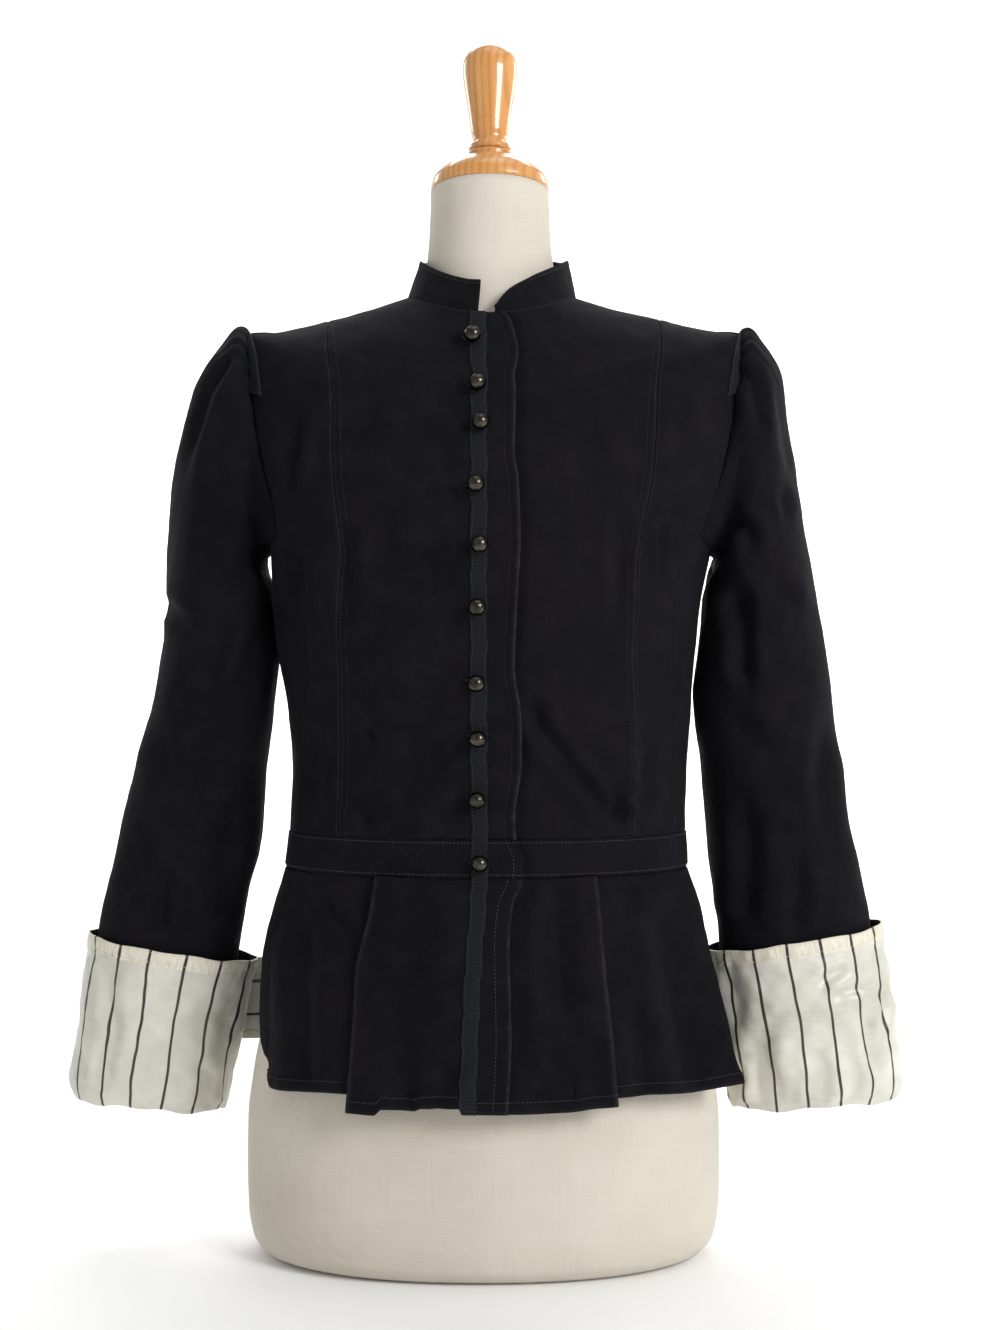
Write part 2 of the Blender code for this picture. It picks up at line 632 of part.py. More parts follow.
def make_cuff_tab(materials, collection):
    # It leaves the cuff's back and runs on towards the body, with a rounded upper corner.
    rows = []
    angles = [math.radians(angle) for angle in TAB_ANGLES]
    for step in range(TAB_ROWS + 1):
        height = lerp(TAB_LOW, 1.0, step / TAB_ROWS)
        section = [lerp(low, high, height) for low, high in zip(CUFF_RIGHT[0], CUFF_RIGHT[2])]
        row = tube_ring(section, -1, angles, CUFF_THICK + LAY_GAP * 2, 0.004)
        reach = TAB_REACH * math.sqrt(max(0.15, 1 - max(0.0, (height - 0.72) / 0.30) ** 2))
        row.append(row[-1] + Vector((reach * 0.55, 0.0015, 0.0)))
        row.append(row[-1] + Vector((reach * 0.45, 0.0020, 0.0)))
        rows.append(row)
    return cloth("cuff_tab_right", rows, materials["satin"], collection, CUFF_THICK, flip=True)


def collar_point(angle, height_share):
    # The stand leans in from the neckline to the collar's own top line.
    theta = -angle
    base = section_point(BODY, theta, NECKLINE) + Vector((0.0, 0.0, COLLAR_LIFT))
    s, c = math.sin(theta), math.cos(theta)
    depth = COLLAR_TOP_FRONT if c > 0 else COLLAR_TOP_BACK
    lean = height_share * COLLAR.at("height", math.degrees(-angle)) / COLLAR.at("height", -180.0)
    top = Vector((COLLAR_TOP_OVER + COLLAR_TOP_HALF * s, -depth * c, 0.0))
    point = base.lerp(Vector((top.x, top.y, base.z)), lean)
    point.z = base.z + height_share * COLLAR.at("height", math.degrees(-angle))
    return point


def make_collar(materials, collection):
    first, last = -COLLAR.keys[-1], -COLLAR.keys[0]
    rows = []
    for share in (0.0, 0.35, 0.7, 1.0):
        row = []
        for j in range(COLLAR_COLUMNS + 1):
            angle = math.radians(lerp(first, last, j / COLLAR_COLUMNS))
            row.append(collar_point(angle, share))
        rows.append(row)
    return cloth("collar", rows, materials["twill"], collection, flip=True)


def band_row(level, places, columns):
    row = []
    for i in range(len(places) - 1):
        (start, out), (end, next_out) = places[i], places[i + 1]
        count = columns[i]
        row += [(lerp(start, end, j / count), level, lerp(out, next_out, j / count)) for j in range(count)]
    row.append((places[-1][0], level, places[-1][1]))
    return row


def make_waistband(materials, collection):
    seam = math.radians(BAND_SEAM)
    levels = (WAIST_LOW + SEAM_GAP / 2, (WAIST_LOW + WAIST_HIGH) / 2, WAIST_HIGH - SEAM_GAP / 2)
    right, left, back = [], [], []
    for level in levels:
        edge = FRONT_LINES.at("lap_edge", level)
        ribbon = FRONT_LINES.at("ribbon", level)
        gap = turn_for(BODY, seam, level, SEAM_GAP / 2)
        lap = angle_at_x(BODY, edge, level)
        right.append(band_row(level, [(-seam + gap, 0.0), (lap, 0.0)], (13,)))
        under = [(angle_at_x(BODY, ribbon - UNDERLAP_REACH, level), -LAP_STEP),
                 (angle_at_x(BODY, edge + 0.002, level), -LAP_STEP),
                 (angle_at_x(BODY, edge + 0.014, level), 0.0),
                 (seam - gap, 0.0)]
        left.append(band_row(level, under, (3, 1, 11)))
        back.append(band_row(level, [(seam + gap, 0.0), (2 * math.pi - seam - gap, 0.0)], (18,)))
    for name, rows in (("waistband_right", right), ("waistband_left", left), ("waistband_back", back)):
        cloth(name, place_rows(BODY, rows), materials["twill"], collection)


def pleat_steps(depth):
    # Across a knife pleat, from the middle outwards: distance from the fold and rise of the cloth
    turn = PLEAT_OUTER / 2
    small = -PLEAT_UNDER / 2
    steps = [(-PLEAT_RELAX, 0.0), (-PLEAT_RELAX * 0.5, PLEAT_OUTER * 0.8), (0.0, PLEAT_OUTER)]
    for degrees in (30, -30):
        a = math.radians(degrees)
        steps.append((turn * math.cos(a), turn + turn * math.sin(a)))
    steps += [(0.0, 0.0), (-depth, 0.0), (-depth - small, -small), (-depth, PLEAT_UNDER)]
    steps += [(0.0, PLEAT_UNDER), (PLEAT_RELAX * 0.25, PLEAT_UNDER), (PLEAT_RELAX, 0.0)]
    return steps


def peplum_level(share):
    return lerp(HEM, WAIST_LOW - SEAM_GAP / 2, share)


def fold_angle(level, share):
    return angle_at_x(PEPLUM, lerp(PLEAT_FOLD_HEM, PLEAT_FOLD_WAIST, share), level)


def pleat_columns(level, share):
    fold = fold_angle(level, share)
    depth = lerp(PLEAT_DEPTH_HEM, PLEAT_DEPTH_WAIST, share)
    columns = []
    for distance, rise in pleat_steps(depth):
        columns.append((fold + turn_for(PEPLUM, fold, level, distance), level, rise))
    return columns


def peplum_front_row(share, side):
    level = peplum_level(share)
    edge = FRONT_LINES.at("lap_edge", level)
    pleat = pleat_columns(level, share)
    if side > 0:
        ribbon = FRONT_LINES.at("ribbon", level)
        row = [(angle_at_x(PEPLUM, x, level), level, -LAP_STEP)
               for x in (ribbon - 0.006, edge - 0.008, edge + 0.002)]
        row.append((angle_at_x(PEPLUM, edge + 0.014, level), level, 0.0))
    else:
        row = [(-angle_at_x(PEPLUM, x, level), level, 0.0) for x in (edge, 0.0, -0.022)]
    row.append((lerp(row[-1][0], pleat[0][0], 0.55), level, 0.0))
    row += pleat
    end = math.radians(FRONT_PANEL_EDGE)
    flare = (FLARE_LEFT if side > 0 else FLARE_RIGHT) * (1 - share) ** 1.2
    for step in (1, 2, 3):
        row.append((lerp(pleat[-1][0], end, step / 3), level, flare * (step / 3) ** 2))
    return mirrored_row(row, side)


def make_peplum_front(side, name, materials, collection):
    rows = place_rows(PEPLUM, [peplum_front_row(share, side) for share in PEPLUM_LEVELS])
    return cloth(name, rows, materials["twill"], collection, PEPLUM_CLOTH)


def peplum_back_row(share):
    level = peplum_level(share)
    edge = math.radians(BACK_PANEL_EDGE)
    lap = math.radians(FRONT_PANEL_EDGE + PEPLUM_LAP_ANGLE)
    half = [(edge, level, -PEPLUM_LAP), (lap, level, -PEPLUM_LAP)]
    half += [(math.radians(angle), level, 0.0) for angle in BACK_SIDE_ANGLES]
    half += to_back(pleat_columns(level, share))
    half.append((math.radians(BACK_MIDDLE_ANGLE), level, 0.0))
    other = [(2 * math.pi - theta, level, out) for theta, level, out in reversed(half)]
    return half + [(math.pi, level, 0.0)] + other


def make_peplum_back(materials, collection):
    rows = place_rows(PEPLUM, [peplum_back_row(share) for share in PEPLUM_LEVELS])
    return cloth("peplum_back", rows, materials["twill"], collection, PEPLUM_CLOTH)


def make_front_ribbon(materials, collection):
    # The ribbon lies on the lapping front from the neckline to the hem.
    out = LAY_GAP + RIBBON_THICK
    rows = []
    for table, levels in ((PEPLUM, [peplum_level(share) for share in PEPLUM_LEVELS]),
                          (BODY, [WAIST_LOW + 0.010, WAIST_LOW + 0.020] + front_levels())):
        for level in levels:
            x = FRONT_LINES.at("ribbon", level)
            row = []
            for place in (-0.5, 0.0, 0.5):
                theta = angle_at_x(table, x + place * RIBBON_WIDTH, level)
                row.append((theta, level, out))
            rows += place_rows(table, [row])
    return cloth("front_ribbon", rows, materials["ribbon"], collection, RIBBON_THICK)


def make_shoulder_tape(side, name, materials, collection):
    # A short tape beside the armhole seam, caught in the shoulder seam, its lower end free
    first = SIDE_LEVELS.index(TAPE_DOWN_TO)
    rows = []
    for index in range(first, len(SIDE_LEVELS)):
        row = []
        for step in (0.0, 0.5, 1.0):
            theta, level = side_front_at(lerp(*TAPE_ACROSS, step), index)
            row.append((theta, level, TAPE_LIFT + RIBBON_THICK))
        rows.append(mirrored_row(row, side))
    return cloth(name, place_rows(BODY, rows), materials["ribbon"], collection, RIBBON_THICK)


def level_for_height(height):
    # The level at which the front middle of a body section reaches this height
    low, high = BODY.keys[0], BODY.keys[-1]
    for _ in range(40):
        middle = (low + high) / 2
        if section_point(BODY, 0.0, middle).z < height:
            low = middle
        else:
            high = middle
    return (low + high) / 2


def make_buttons(materials, collection):
    for number, (x, height) in enumerate(BUTTONS, start=1):
        level = level_for_height(height)
        out = LAY_GAP * 2 + RIBBON_THICK + BUTTON_RADIUS
        place = raised(BODY, angle_at_x(BODY, x, level), level, out)
        bpy.ops.mesh.primitive_uv_sphere_add(segments=BUTTON_SEGMENTS, ring_count=BUTTON_RINGS,
                                             radius=BUTTON_RADIUS, location=place)
        ball = bpy.context.object
        ball.name = f"button_{number:02d}"
        ball.data.materials.append(materials["metal"])
        ball.data.shade_smooth()
        for owner in list(ball.users_collection):
            owner.objects.unlink(ball)
        collection.objects.link(ball)


def make_form(materials, collection):
    rows = []
    for level in FORM.keys:
        row = [section_point(FORM, 2 * math.pi * j / FORM_COLUMNS, level) for j in range(FORM_COLUMNS)]
        rows.append(row)
    for point in rows[-1]:
        point.z = CAP_BASE_Z - LAY_GAP - point.y * math.tan(math.radians(CAP_TILT))
    mesh = grid_mesh("form_torso", rows, closed=True)
    solid = new_object("form_torso", mesh, materials["linen"], collection)
    close_ends(solid.data, len(rows), FORM_COLUMNS)
    solid.data.shade_smooth()
    return solid


def close_ends(mesh, row_count, columns):
    points = [tuple(vertex.co) for vertex in mesh.vertices]
    faces = [tuple(face.vertices) for face in mesh.polygons]
    faces.append(tuple(reversed(range(columns))))
    top = (row_count - 1) * columns
    faces.append(tuple(range(top, top + columns)))
    mesh.clear_geometry()
    mesh.from_pydata(points, [], faces)
    mesh.update()


def make_turned(name, profile, steps, place, tilt, material, collection):
    # A turned piece: the profile runs down its outer side from the axis to the axis.
    mesh = bpy.data.meshes.new(name)
    points = [(radius, 0.0, height) for radius, height in profile]
    mesh.from_pydata(points, [(i, i + 1) for i in range(len(points) - 1)], [])
    piece = new_object(name, mesh, material, collection)
    turn = piece.modifiers.new("turn", "SCREW")
    turn.steps = steps
    turn.render_steps = steps
    turn.use_merge_vertices = True
    turn.merge_threshold = 0.00001
    piece.location = place
    piece.rotation_euler = (-math.radians(tilt), 0.0, 0.0)
    return piece


def make_neck_wood(materials, collection):
    place = (NECK_X, 0.0, CAP_BASE_Z)
    cap = [(0.0, 0.0325), (0.0165, 0.0325), (0.0185, 0.0300), (0.0180, 0.0270), (0.0260, 0.0245),
           (0.0360, 0.0195), (0.0430, 0.0140), (0.0468, 0.0080), (0.0472, 0.0015), (0.0462, 0.0),
           (0.0, 0.0)]
    finial = [(0.0, 0.1190), (0.0090, 0.1178), (0.0165, 0.1140), (0.0212, 0.1070), (0.0224, 0.0985),
              (0.0213, 0.0880), (0.0186, 0.0720), (0.0164, 0.0560), (0.0152, 0.0470), (0.0140, 0.0425),
              (0.0152, 0.0390), (0.0172, 0.0355), (0.0160, 0.0328), (0.0, 0.0328)]
    make_turned("form_cap", cap, 24, place, CAP_TILT, materials["beech"], collection)
    make_turned("form_finial", finial, 20, place, CAP_TILT, materials["beech"], collection)


def clear_scene():
    for item in list(bpy.data.objects):
        bpy.data.objects.remove(item, do_unlink=True)


def main():
    clear_scene()
    collection = bpy.data.collections.new("military_jacket_on_form")
    bpy.context.scene.collection.children.link(collection)
    materials = make_materials()
    make_form(materials, collection)
    make_neck_wood(materials, collection)
    for side, word in ((-1, "right"), (1, "left")):
        make_front(side, f"front_{word}", materials, collection)
        make_side_front(side, f"side_front_{word}", materials, collection)
        make_side(side, f"side_{word}", materials, collection)
        make_side_back(side, f"side_back_{word}", materials, collection)
        make_peplum_front(side, f"peplum_front_{word}", materials, collection)
        make_shoulder_tape(side, f"shoulder_tape_{word}", materials, collection)
        sleeve = SLEEVE_RIGHT if side < 0 else SLEEVE_LEFT
        cuff = CUFF_RIGHT if side < 0 else CUFF_LEFT
        angles = make_sleeve(side, f"sleeve_{word}", sleeve, materials, collection)
        make_cuff(side, f"cuff_{word}", cuff, sleeve, angles, materials, collection)
    make_back(materials, collection)
    make_collar(materials, collection)
    make_waistband(materials, collection)
    make_peplum_back(materials, collection)
    make_cuff_tab(materials, collection)
    make_front_ribbon(materials, collection)
    make_buttons(materials, collection)


main()
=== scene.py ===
import math

import bpy
import numpy as np
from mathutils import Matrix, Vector


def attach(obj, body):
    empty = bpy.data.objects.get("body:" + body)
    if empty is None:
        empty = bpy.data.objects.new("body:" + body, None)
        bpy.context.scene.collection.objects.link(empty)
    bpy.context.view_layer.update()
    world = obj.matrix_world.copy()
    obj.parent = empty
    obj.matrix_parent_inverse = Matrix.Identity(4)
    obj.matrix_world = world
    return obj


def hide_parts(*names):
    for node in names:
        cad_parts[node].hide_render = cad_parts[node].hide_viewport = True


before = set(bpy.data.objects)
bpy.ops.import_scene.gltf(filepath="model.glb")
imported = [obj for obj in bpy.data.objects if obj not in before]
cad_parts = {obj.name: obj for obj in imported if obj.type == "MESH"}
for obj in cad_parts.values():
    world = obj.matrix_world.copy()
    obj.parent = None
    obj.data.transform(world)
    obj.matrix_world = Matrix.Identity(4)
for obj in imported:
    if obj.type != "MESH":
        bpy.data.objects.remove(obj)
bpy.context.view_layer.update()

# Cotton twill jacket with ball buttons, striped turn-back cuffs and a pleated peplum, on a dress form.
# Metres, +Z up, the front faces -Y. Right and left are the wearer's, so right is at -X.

print("frame loaded:", len(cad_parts), "nodes")


# reading the sections

def smoothCurve(keys, values, wanted):
    # a curve through the rows that never overshoots one
    keys, values = np.asarray(keys, float), np.asarray(values, float)
    wanted = np.clip(np.asarray(wanted, float), keys[0], keys[-1])
    steps = np.diff(keys)
    slopes = np.diff(values) / steps
    tangents = np.zeros(len(keys))
    tangents[0], tangents[-1] = slopes[0], slopes[-1]
    product = slopes[:-1] * slopes[1:]
    total = np.where(slopes[:-1] + slopes[1:] == 0, 1.0, slopes[:-1] + slopes[1:])
    tangents[1:-1] = np.where(product > 0, 2 * product / total, 0.0)
    spot = np.clip(np.searchsorted(keys, wanted, side="right") - 1, 0, len(steps) - 1)
    t = (wanted - keys[spot]) / steps[spot]
    rise = (2 * t**3 - 3 * t**2 + 1) * values[spot] + (3 * t**2 - 2 * t**3) * values[spot + 1]
    bend = (t**3 - 2 * t**2 + t) * tangents[spot] + (t**3 - t**2) * tangents[spot + 1]
    return rise + steps[spot] * bend


def inMetres(rows):
    return np.array(rows, float) / 1000


def makeTable(columns, rows):
    # rows in mm and degrees, by level; a row's last zeros are left out
    whole = np.array([row + (0,) * (len(columns) - len(row)) for row in sorted(rows)], float)
    return {name: whole[:, i] / (1 if name in plainColumns else 1000) for i, name in enumerate(columns)}


def readTable(table, column, level):
    return smoothCurve(table["level"], table[column], level)


plainColumns = ("square", "degrees")
sectionColumns = ("level", "halfWidth", "front", "back", "square", "over", "frontDip", "backDip")

# Sections of the jacket's body, in mm. Level is the height at the side; towards the neck a section
# dips below it at the front and the back. Over is how far it sits to +X, square its roundness.
bodyTable = makeTable(sectionColumns, [
    (302, 157.5, 108.5, 98, 2.15, -1), (330, 155, 105, 94, 2.15, 0), (375, 154.8, 107, 92, 2.15, 1),
    (420, 157.5, 115, 95, 2.2, 1), (470, 163, 125, 101, 2.25, -0.5), (510, 167.5, 130, 107, 2.3, 0),
    (552.5, 173.5, 130, 112, 2.35, 2, -4.5, -2.5), (600, 190, 126, 116, 2.4, 4, -18, -5),
    (650, 200, 118, 117, 2.35, 5, -35, -10), (690, 198, 110, 113, 2.3, 5.5, -50, -18),
    (715.5, 192, 100, 108, 2.2, 5.5, -45.5, -25.5), (718, 174, 97, 105, 2.18, 5.5, -44, -23),
    (722, 153, 94, 102, 2.15, 5, -41, -19), (727.5, 128, 90, 98, 2.1, 4.5, -37.5, -15.5),
    (737.5, 90, 82, 83, 2.05, 4, -32.5, -2.5), (745, 67, 73, 66, 2, 3, -22.5, 12),
])

# Sections of the peplum in mm, from the hem to the waist seam
peplumTable = makeTable(sectionColumns, [
    (138.5, 185.5, 135, 148, 2.2, -4), (180, 182, 130, 140, 2.2, -4), (210, 179, 126, 132, 2.2, -4.5),
    (233.5, 176, 122.5, 125, 2.2, -5), (250, 173, 119, 119, 2.2, -4), (265, 169.5, 116, 113, 2.18, -2.5),
    (281, 164.5, 113, 106, 2.15, -1.5), (302, 157.5, 108.5, 98, 2.15, -1),
])

# Sections of the dress form: a rounded foot, hips, waist, chest, limbless shoulders and neck
formTable = makeTable(sectionColumns, [
    (0, 162, 90, 108, 2.15, -3.5), (5, 173, 100, 118.5, 2.15, -3.5), (15, 180, 106.5, 125, 2.15, -3.5),
    (35, 183.8, 110, 129, 2.15, -3.5), (70, 184.8, 110.5, 130, 2.15, -3.5),
    (105, 184.5, 110.5, 130, 2.15, -3.5), (140, 180.5, 109, 127, 2.15, -3.5),
    (180, 173.5, 107, 120, 2.15, -3), (220, 165, 104, 111, 2.15, -3), (260, 156.5, 100, 100, 2.12, -2),
    (300, 150, 97.5, 90, 2.1, -1), (335, 147, 94, 85.5, 2.1, 0), (375, 147, 97, 84.5, 2.1, 1),
    (420, 150, 105, 87.5, 2.15, 1), (470, 155.5, 115, 93.5, 2.2, -0.5), (510, 160, 120, 99.5, 2.2, 0),
    (552.5, 164, 119, 104, 2.2, 1, -4.5, -2.5), (600, 168, 115, 108, 2.2, 2, -18, -5),
    (650, 170, 108, 108, 2.2, 3, -35, -12), (688, 164, 101, 104, 2.15, 4.5, -52, -23),
    (708, 154, 92.5, 97.5, 2.1, 4.8, -44, -19), (716.8, 142, 89, 94.5, 2.1, 4.8, -40, -16),
    (723.8, 128, 85.5, 92.5, 2.1, 4.5, -39.5, -16.5), (733.8, 90, 78, 78.5, 2.05, 4, -35, -4.5),
    (742, 63, 67, 64, 2, 2.2, -26.5, 5.5), (755, 53.5, 57.5, 55.5, 2, 1.6, -20, 7),
    (775, 49.5, 51, 50.5, 2, 1.5, -10, 4), (800, 47.5, 48.5, 48, 2, 1.4), (829, 46.5, 46.5, 46.5, 2, 1.4),
])

# Seams, as distance from the section's own middle, in mm
seamTable = makeTable(("level", "princess", "armhole"), [
    (302, 111, 144), (330, 112, 142.5), (375, 110.5, 141.5), (420, 110, 140), (470, 109, 139),
    (510, 109, 140), (535, 108.5, 146), (556, 110, 158), (580, 113.2, 165.5), (605, 116.2, 171.5),
    (630, 118, 177), (655, 119, 182.5), (675, 119.5, 186), (691, 120, 188.5), (704, 121.5, 190.5),
    (715.5, 124.5, 192), (727.5, 128, 128),
])

# The lapping front's free edge, which wavers, and the ribbon's middle line, as X
frontTable = makeTable(("level", "lapEdge", "ribbon"), [
    (130, 14.8, -14.5), (190, 17.6, -12.2), (218, 17.2, -11.2), (251.9, 16.3, -9), (282.6, 18.9, -6.6),
    (301.5, 26.2, -5.6), (315, 26.8, -5.6), (330, 21.2, -5.6), (345.8, 20.5, -5.7), (387, 25.2, -6),
    (421.8, 24.6, -6), (456.6, 20, -6.1), (512.3, 22.4, -6), (553, 24.2, -5.9), (615, 22.8, -6),
    (648.7, 20, -6.1), (702, 21.2, -6.2), (723.5, 22.4, -6.2), (735.7, 20.4, -6.6), (742.5, 16.5, -7),
    (745, 10.5, -7.2),
])

# Rows run level up to the armhole, then fan out from its top across the shoulder.
bodyLevels = (0.3302, 0.350, 0.375, 0.400, 0.425, 0.450, 0.475, 0.500, 0.525, 0.556,
              0.585, 0.615, 0.645, 0.672, 0.692, 0.704, 0.709, 0.7125, 0.7155)
fanLevels = (0.3302, 0.350, 0.375, 0.400, 0.425, 0.450, 0.475, 0.500, 0.525, 0.556,
             0.585, 0.615, 0.645, 0.673, 0.697, 0.7145, 0.7205, 0.7245, 0.7275)
neckLevels = (0.7335, 0.7395, 0.7447)

body = {"cloth": 0.0013, "seamGap": 0.00012, "ridgeGap": 0.0003, "lapStep": 0.0024,
        "underlapReach": 0.020, "shoulderTop": 0.7275, "armholeCorner": 0.5560, "underarm": 0.5450,
        "rowsBetween": 9, "seamDip": 0.0008, "seamRoll": 0.0011, "wear": 0.25, "wearAndHighlightWidth": 0.0018,
        "pucker": 0.00016, "puckerReach": 0.006, "ridge": 0.00035, "ridgeAt": 0.0045, "ridgeWidth": 0.0028,
        "lapStart": 0.0015, "lapBlend": 0.006, "lapHighlight": 0.0013, "smallStep": 0.01}


def lapEdge(level):
    return readTable(frontTable, "lapEdge", level)


def ribbonX(level):
    return readTable(frontTable, "ribbon", level)


def bent(value, exponent):
    return np.sign(value) * np.abs(value) ** exponent


def sectionPoint(table, theta, level):
    # theta is 0 at the front middle and grows towards +X
    theta, level = np.broadcast_arrays(np.asarray(theta, float), np.asarray(level, float))
    if table is not bodyTable or level.max() < 0.68:
        return plainPoint(table, theta, level)
    # the shoulder's roll gets rounder away from the shoulder seam
    reach = 0.016 * np.cos(theta) ** 2 * smoothStep((level - 0.66) / 0.03)
    reach = np.minimum(reach, table["level"][-1] - level)
    total = 0.0
    for step, weight in ((-1.0, 0.12), (-0.5, 0.22), (0.0, 0.32), (0.5, 0.22), (1.0, 0.12)):
        total = total + weight * plainPoint(table, theta, level + step * reach)
    return total


def smoothStep(value):
    value = np.clip(value, 0, 1)
    return value * value * (3 - 2 * value)


def plainPoint(table, theta, level):
    s, c = np.sin(theta), np.cos(theta)
    exponent = 2.0 / readTable(table, "square", level)
    front = c > 0
    depth = np.where(front, readTable(table, "front", level), readTable(table, "back", level))
    dip = np.where(front, readTable(table, "frontDip", level), readTable(table, "backDip", level))
    x = readTable(table, "over", level) + readTable(table, "halfWidth", level) * bent(s, exponent)
    return np.stack([x, -depth * bent(c, exponent), level + dip * c * c], axis=-1)


def bell(distance, width):
    return np.exp(-(distance / width) ** 2)


def circle(count):
    return np.linspace(0, 2 * np.pi, count, endpoint=False)


def unit(vectors):
    return vectors / np.maximum(np.linalg.norm(vectors, axis=-1, keepdims=True), 1e-12)


def sectionNormal(table, theta, level):
    keys = table["level"]
    small = body["smallStep"]
    across = sectionPoint(table, theta + small, level) - sectionPoint(table, theta - small, level)
    low, high = np.maximum(keys[0], level - 0.002), np.minimum(keys[-1], level + 0.002)
    up = sectionPoint(table, theta, high) - sectionPoint(table, theta, low)
    return unit(np.cross(across, up))


def angleFromMiddle(table, distance, level):
    distance = np.asarray(distance, float)
    share = np.minimum(1.0, np.abs(distance) / readTable(table, "halfWidth", level))
    return np.sign(distance) * np.arcsin(share ** (readTable(table, "square", level) / 2.0))


def angleAtX(table, x, level):
    return angleFromMiddle(table, x - readTable(table, "over", level), level)


def turnFor(table, theta, level, distance):
    # the change of angle that moves a point this far along its section
    small = body["smallStep"]
    span = sectionPoint(table, theta + small, level) - sectionPoint(table, theta - small, level)
    return distance * 2 * small / np.linalg.norm(span, axis=-1)


def halfGap(theta, level):
    # half the gap that two pieces leave at a seam of the body, as an angle
    return turnFor(bodyTable, theta, level, body["seamGap"])


def ridgeAngle(level):
    # the front angle that stops just short of the shoulder seam
    depth = readTable(bodyTable, "front", level)
    power = readTable(bodyTable, "square", level) / 2
    return np.pi / 2 - np.arcsin((body["ridgeGap"] / depth) ** power)


def princessAngle(level):
    distance = readTable(seamTable, "princess", level)
    seam = angleFromMiddle(bodyTable, distance, level)
    wanted = distance + readTable(bodyTable, "over", level)
    for _ in range(4):
        away = wanted - sectionPoint(bodyTable, seam, level)[..., 0]
        seam = seam + turnFor(bodyTable, seam, level, away)
    seam = np.where(level > body["shoulderTop"], np.pi, seam)
    return np.minimum(seam, ridgeAngle(level))


def armholeAngle(level):
    seam = angleFromMiddle(bodyTable, readTable(seamTable, "armhole", level), level)
    return np.minimum(seam, ridgeAngle(level))


def fanLevel(level):
    # the level at the princess seam of the row that has this level at the armhole
    return smoothCurve(bodyLevels, fanLevels, level)


def between(keys, count):
    # a list of keys with this many steps in each stretch
    keys = np.asarray(keys, float)
    steps = [np.linspace(low, high, count, endpoint=False) for low, high in zip(keys[:-1], keys[1:])]
    return np.concatenate(steps + [keys[-1:]])


def edgeSteps(count, edge=0.010):
    # shares across a panel, closer together at its two seams
    near = np.array([0.0, 0.25, 0.5, 0.75, 1.0]) * edge
    inner = np.linspace(edge, 1 - edge, count + 1)
    return np.concatenate([near[:-1], inner, 1 - near[:-1][::-1]])


# folds and the cloth's own unevenness

# the photograph's middle and its focal length, in its own pixels
photo = {"middleX": 500, "middleY": 665, "focal": 1905}
stage = {"lens": 51.56, "sensor": 36.0, "camera": (0.0094, -1.5, 0.458), "floor": "#f4f4f3",
         "wallStart": 3.2, "wallBend": 1.2, "sky": 0.43}
# a fold's ridge against its trough, how many widths away it stands, and the depth against its row's
foldRidge, foldPeak, foldStrength = 0.45, 1.9, 2.1


def atPhoto(px, py, depth):
    # where a line of sight of the photograph meets the plane at this Y
    scale = (depth - stage["camera"][1]) / photo["focal"]
    return (stage["camera"][0] + (px - photo["middleX"]) * scale,
            stage["camera"][2] - (py - photo["middleY"]) * scale)


def foldRows(groups):
    # soft troughs along lines of the photograph; a line whose plane lies behind is seen from behind
    folds = []
    for (plane, start, end), rows in groups.items():
        for width, depth, *spots in rows:
            path = np.array([atPhoto(px, py, plane / 100) for px, py in zip(spots[::2], spots[1::2])])
            folds.append({"path": path, "width": width / 1000, "depth": depth / 1000,
                          "ends": (start, end), "back": plane > 3})
    return folds


def foldOffset(points, normals, folds):
    # how far the cloth stands off its plain form, from all the folds that cross it
    flat = points.reshape(-1, 3)
    facing = normals.reshape(-1, 3)[:, 1]
    total = np.zeros(len(flat))
    for crease in folds:
        path, width = crease["path"], crease["width"]
        reach = width * 4
        low, high = path.min(axis=0) - reach, path.max(axis=0) + reach
        side = facing > 0 if crease["back"] else facing < 0.15
        inside = side & (flat[:, 0] > low[0]) & (flat[:, 0] < high[0])
        inside &= (flat[:, 2] > low[1]) & (flat[:, 2] < high[1])
        if not inside.any():
            continue
        spots = flat[inside][:, [0, 2]]
        lengths = np.linalg.norm(np.diff(path, axis=0), axis=1)
        runs = np.concatenate([[0], np.cumsum(lengths)])
        best = np.full(len(spots), 1e9)
        along = np.zeros(len(spots))
        for i, length in enumerate(lengths):
            direction = (path[i + 1] - path[i]) / length
            t = np.clip((spots - path[i]) @ direction, 0, length)
            distance = np.linalg.norm(spots - path[i] - t[:, None] * direction, axis=1)
            closer = distance < best
            best[closer] = distance[closer]
            along[closer] = (runs[i] + t[closer]) / runs[-1]
        start, end = crease["ends"]
        fade = np.minimum(1.0, along / max(start, 1e-6)) if start else 1.0
        fade = fade * (np.minimum(1.0, (1 - along) / max(end, 1e-6)) if end else 1.0)
        turned = np.clip(np.abs(facing[inside]) * 3.0, 0, 1)
        shape = -bell(best, width)
        shape += foldRidge * bell(best - foldPeak * width, width)
        total[inside] += foldStrength * crease["depth"] * shape * smoothStep(fade) * turned
    return total.reshape(points.shape[:-1])


# Slow waves that keep wide cloth from looking ironed: wavelengths in metres, direction, size
slowWaves = (
    (0.115, (0.6, 0.5, 0.8), 0.3, 0.00038), (0.083, (-0.8, 0.4, 0.5), 1.7, 0.00032),
    (0.061, (0.3, -0.7, 0.9), 2.9, 0.00024), (0.042, (0.9, 0.6, -0.3), 4.1, 0.00016),
    (0.031, (-0.4, 0.8, 0.7), 5.3, 0.00010),
)
fineWaves = (
    (0.0210, (0.7, 0.4, 0.9), 0.8, 0.00007), (0.0155, (-0.8, 0.6, 0.4), 2.2, 0.00006),
    (0.0118, (0.5, -0.8, 0.6), 3.7, 0.00005), (0.0092, (0.9, 0.7, -0.8), 5.0, 0.00004),
)


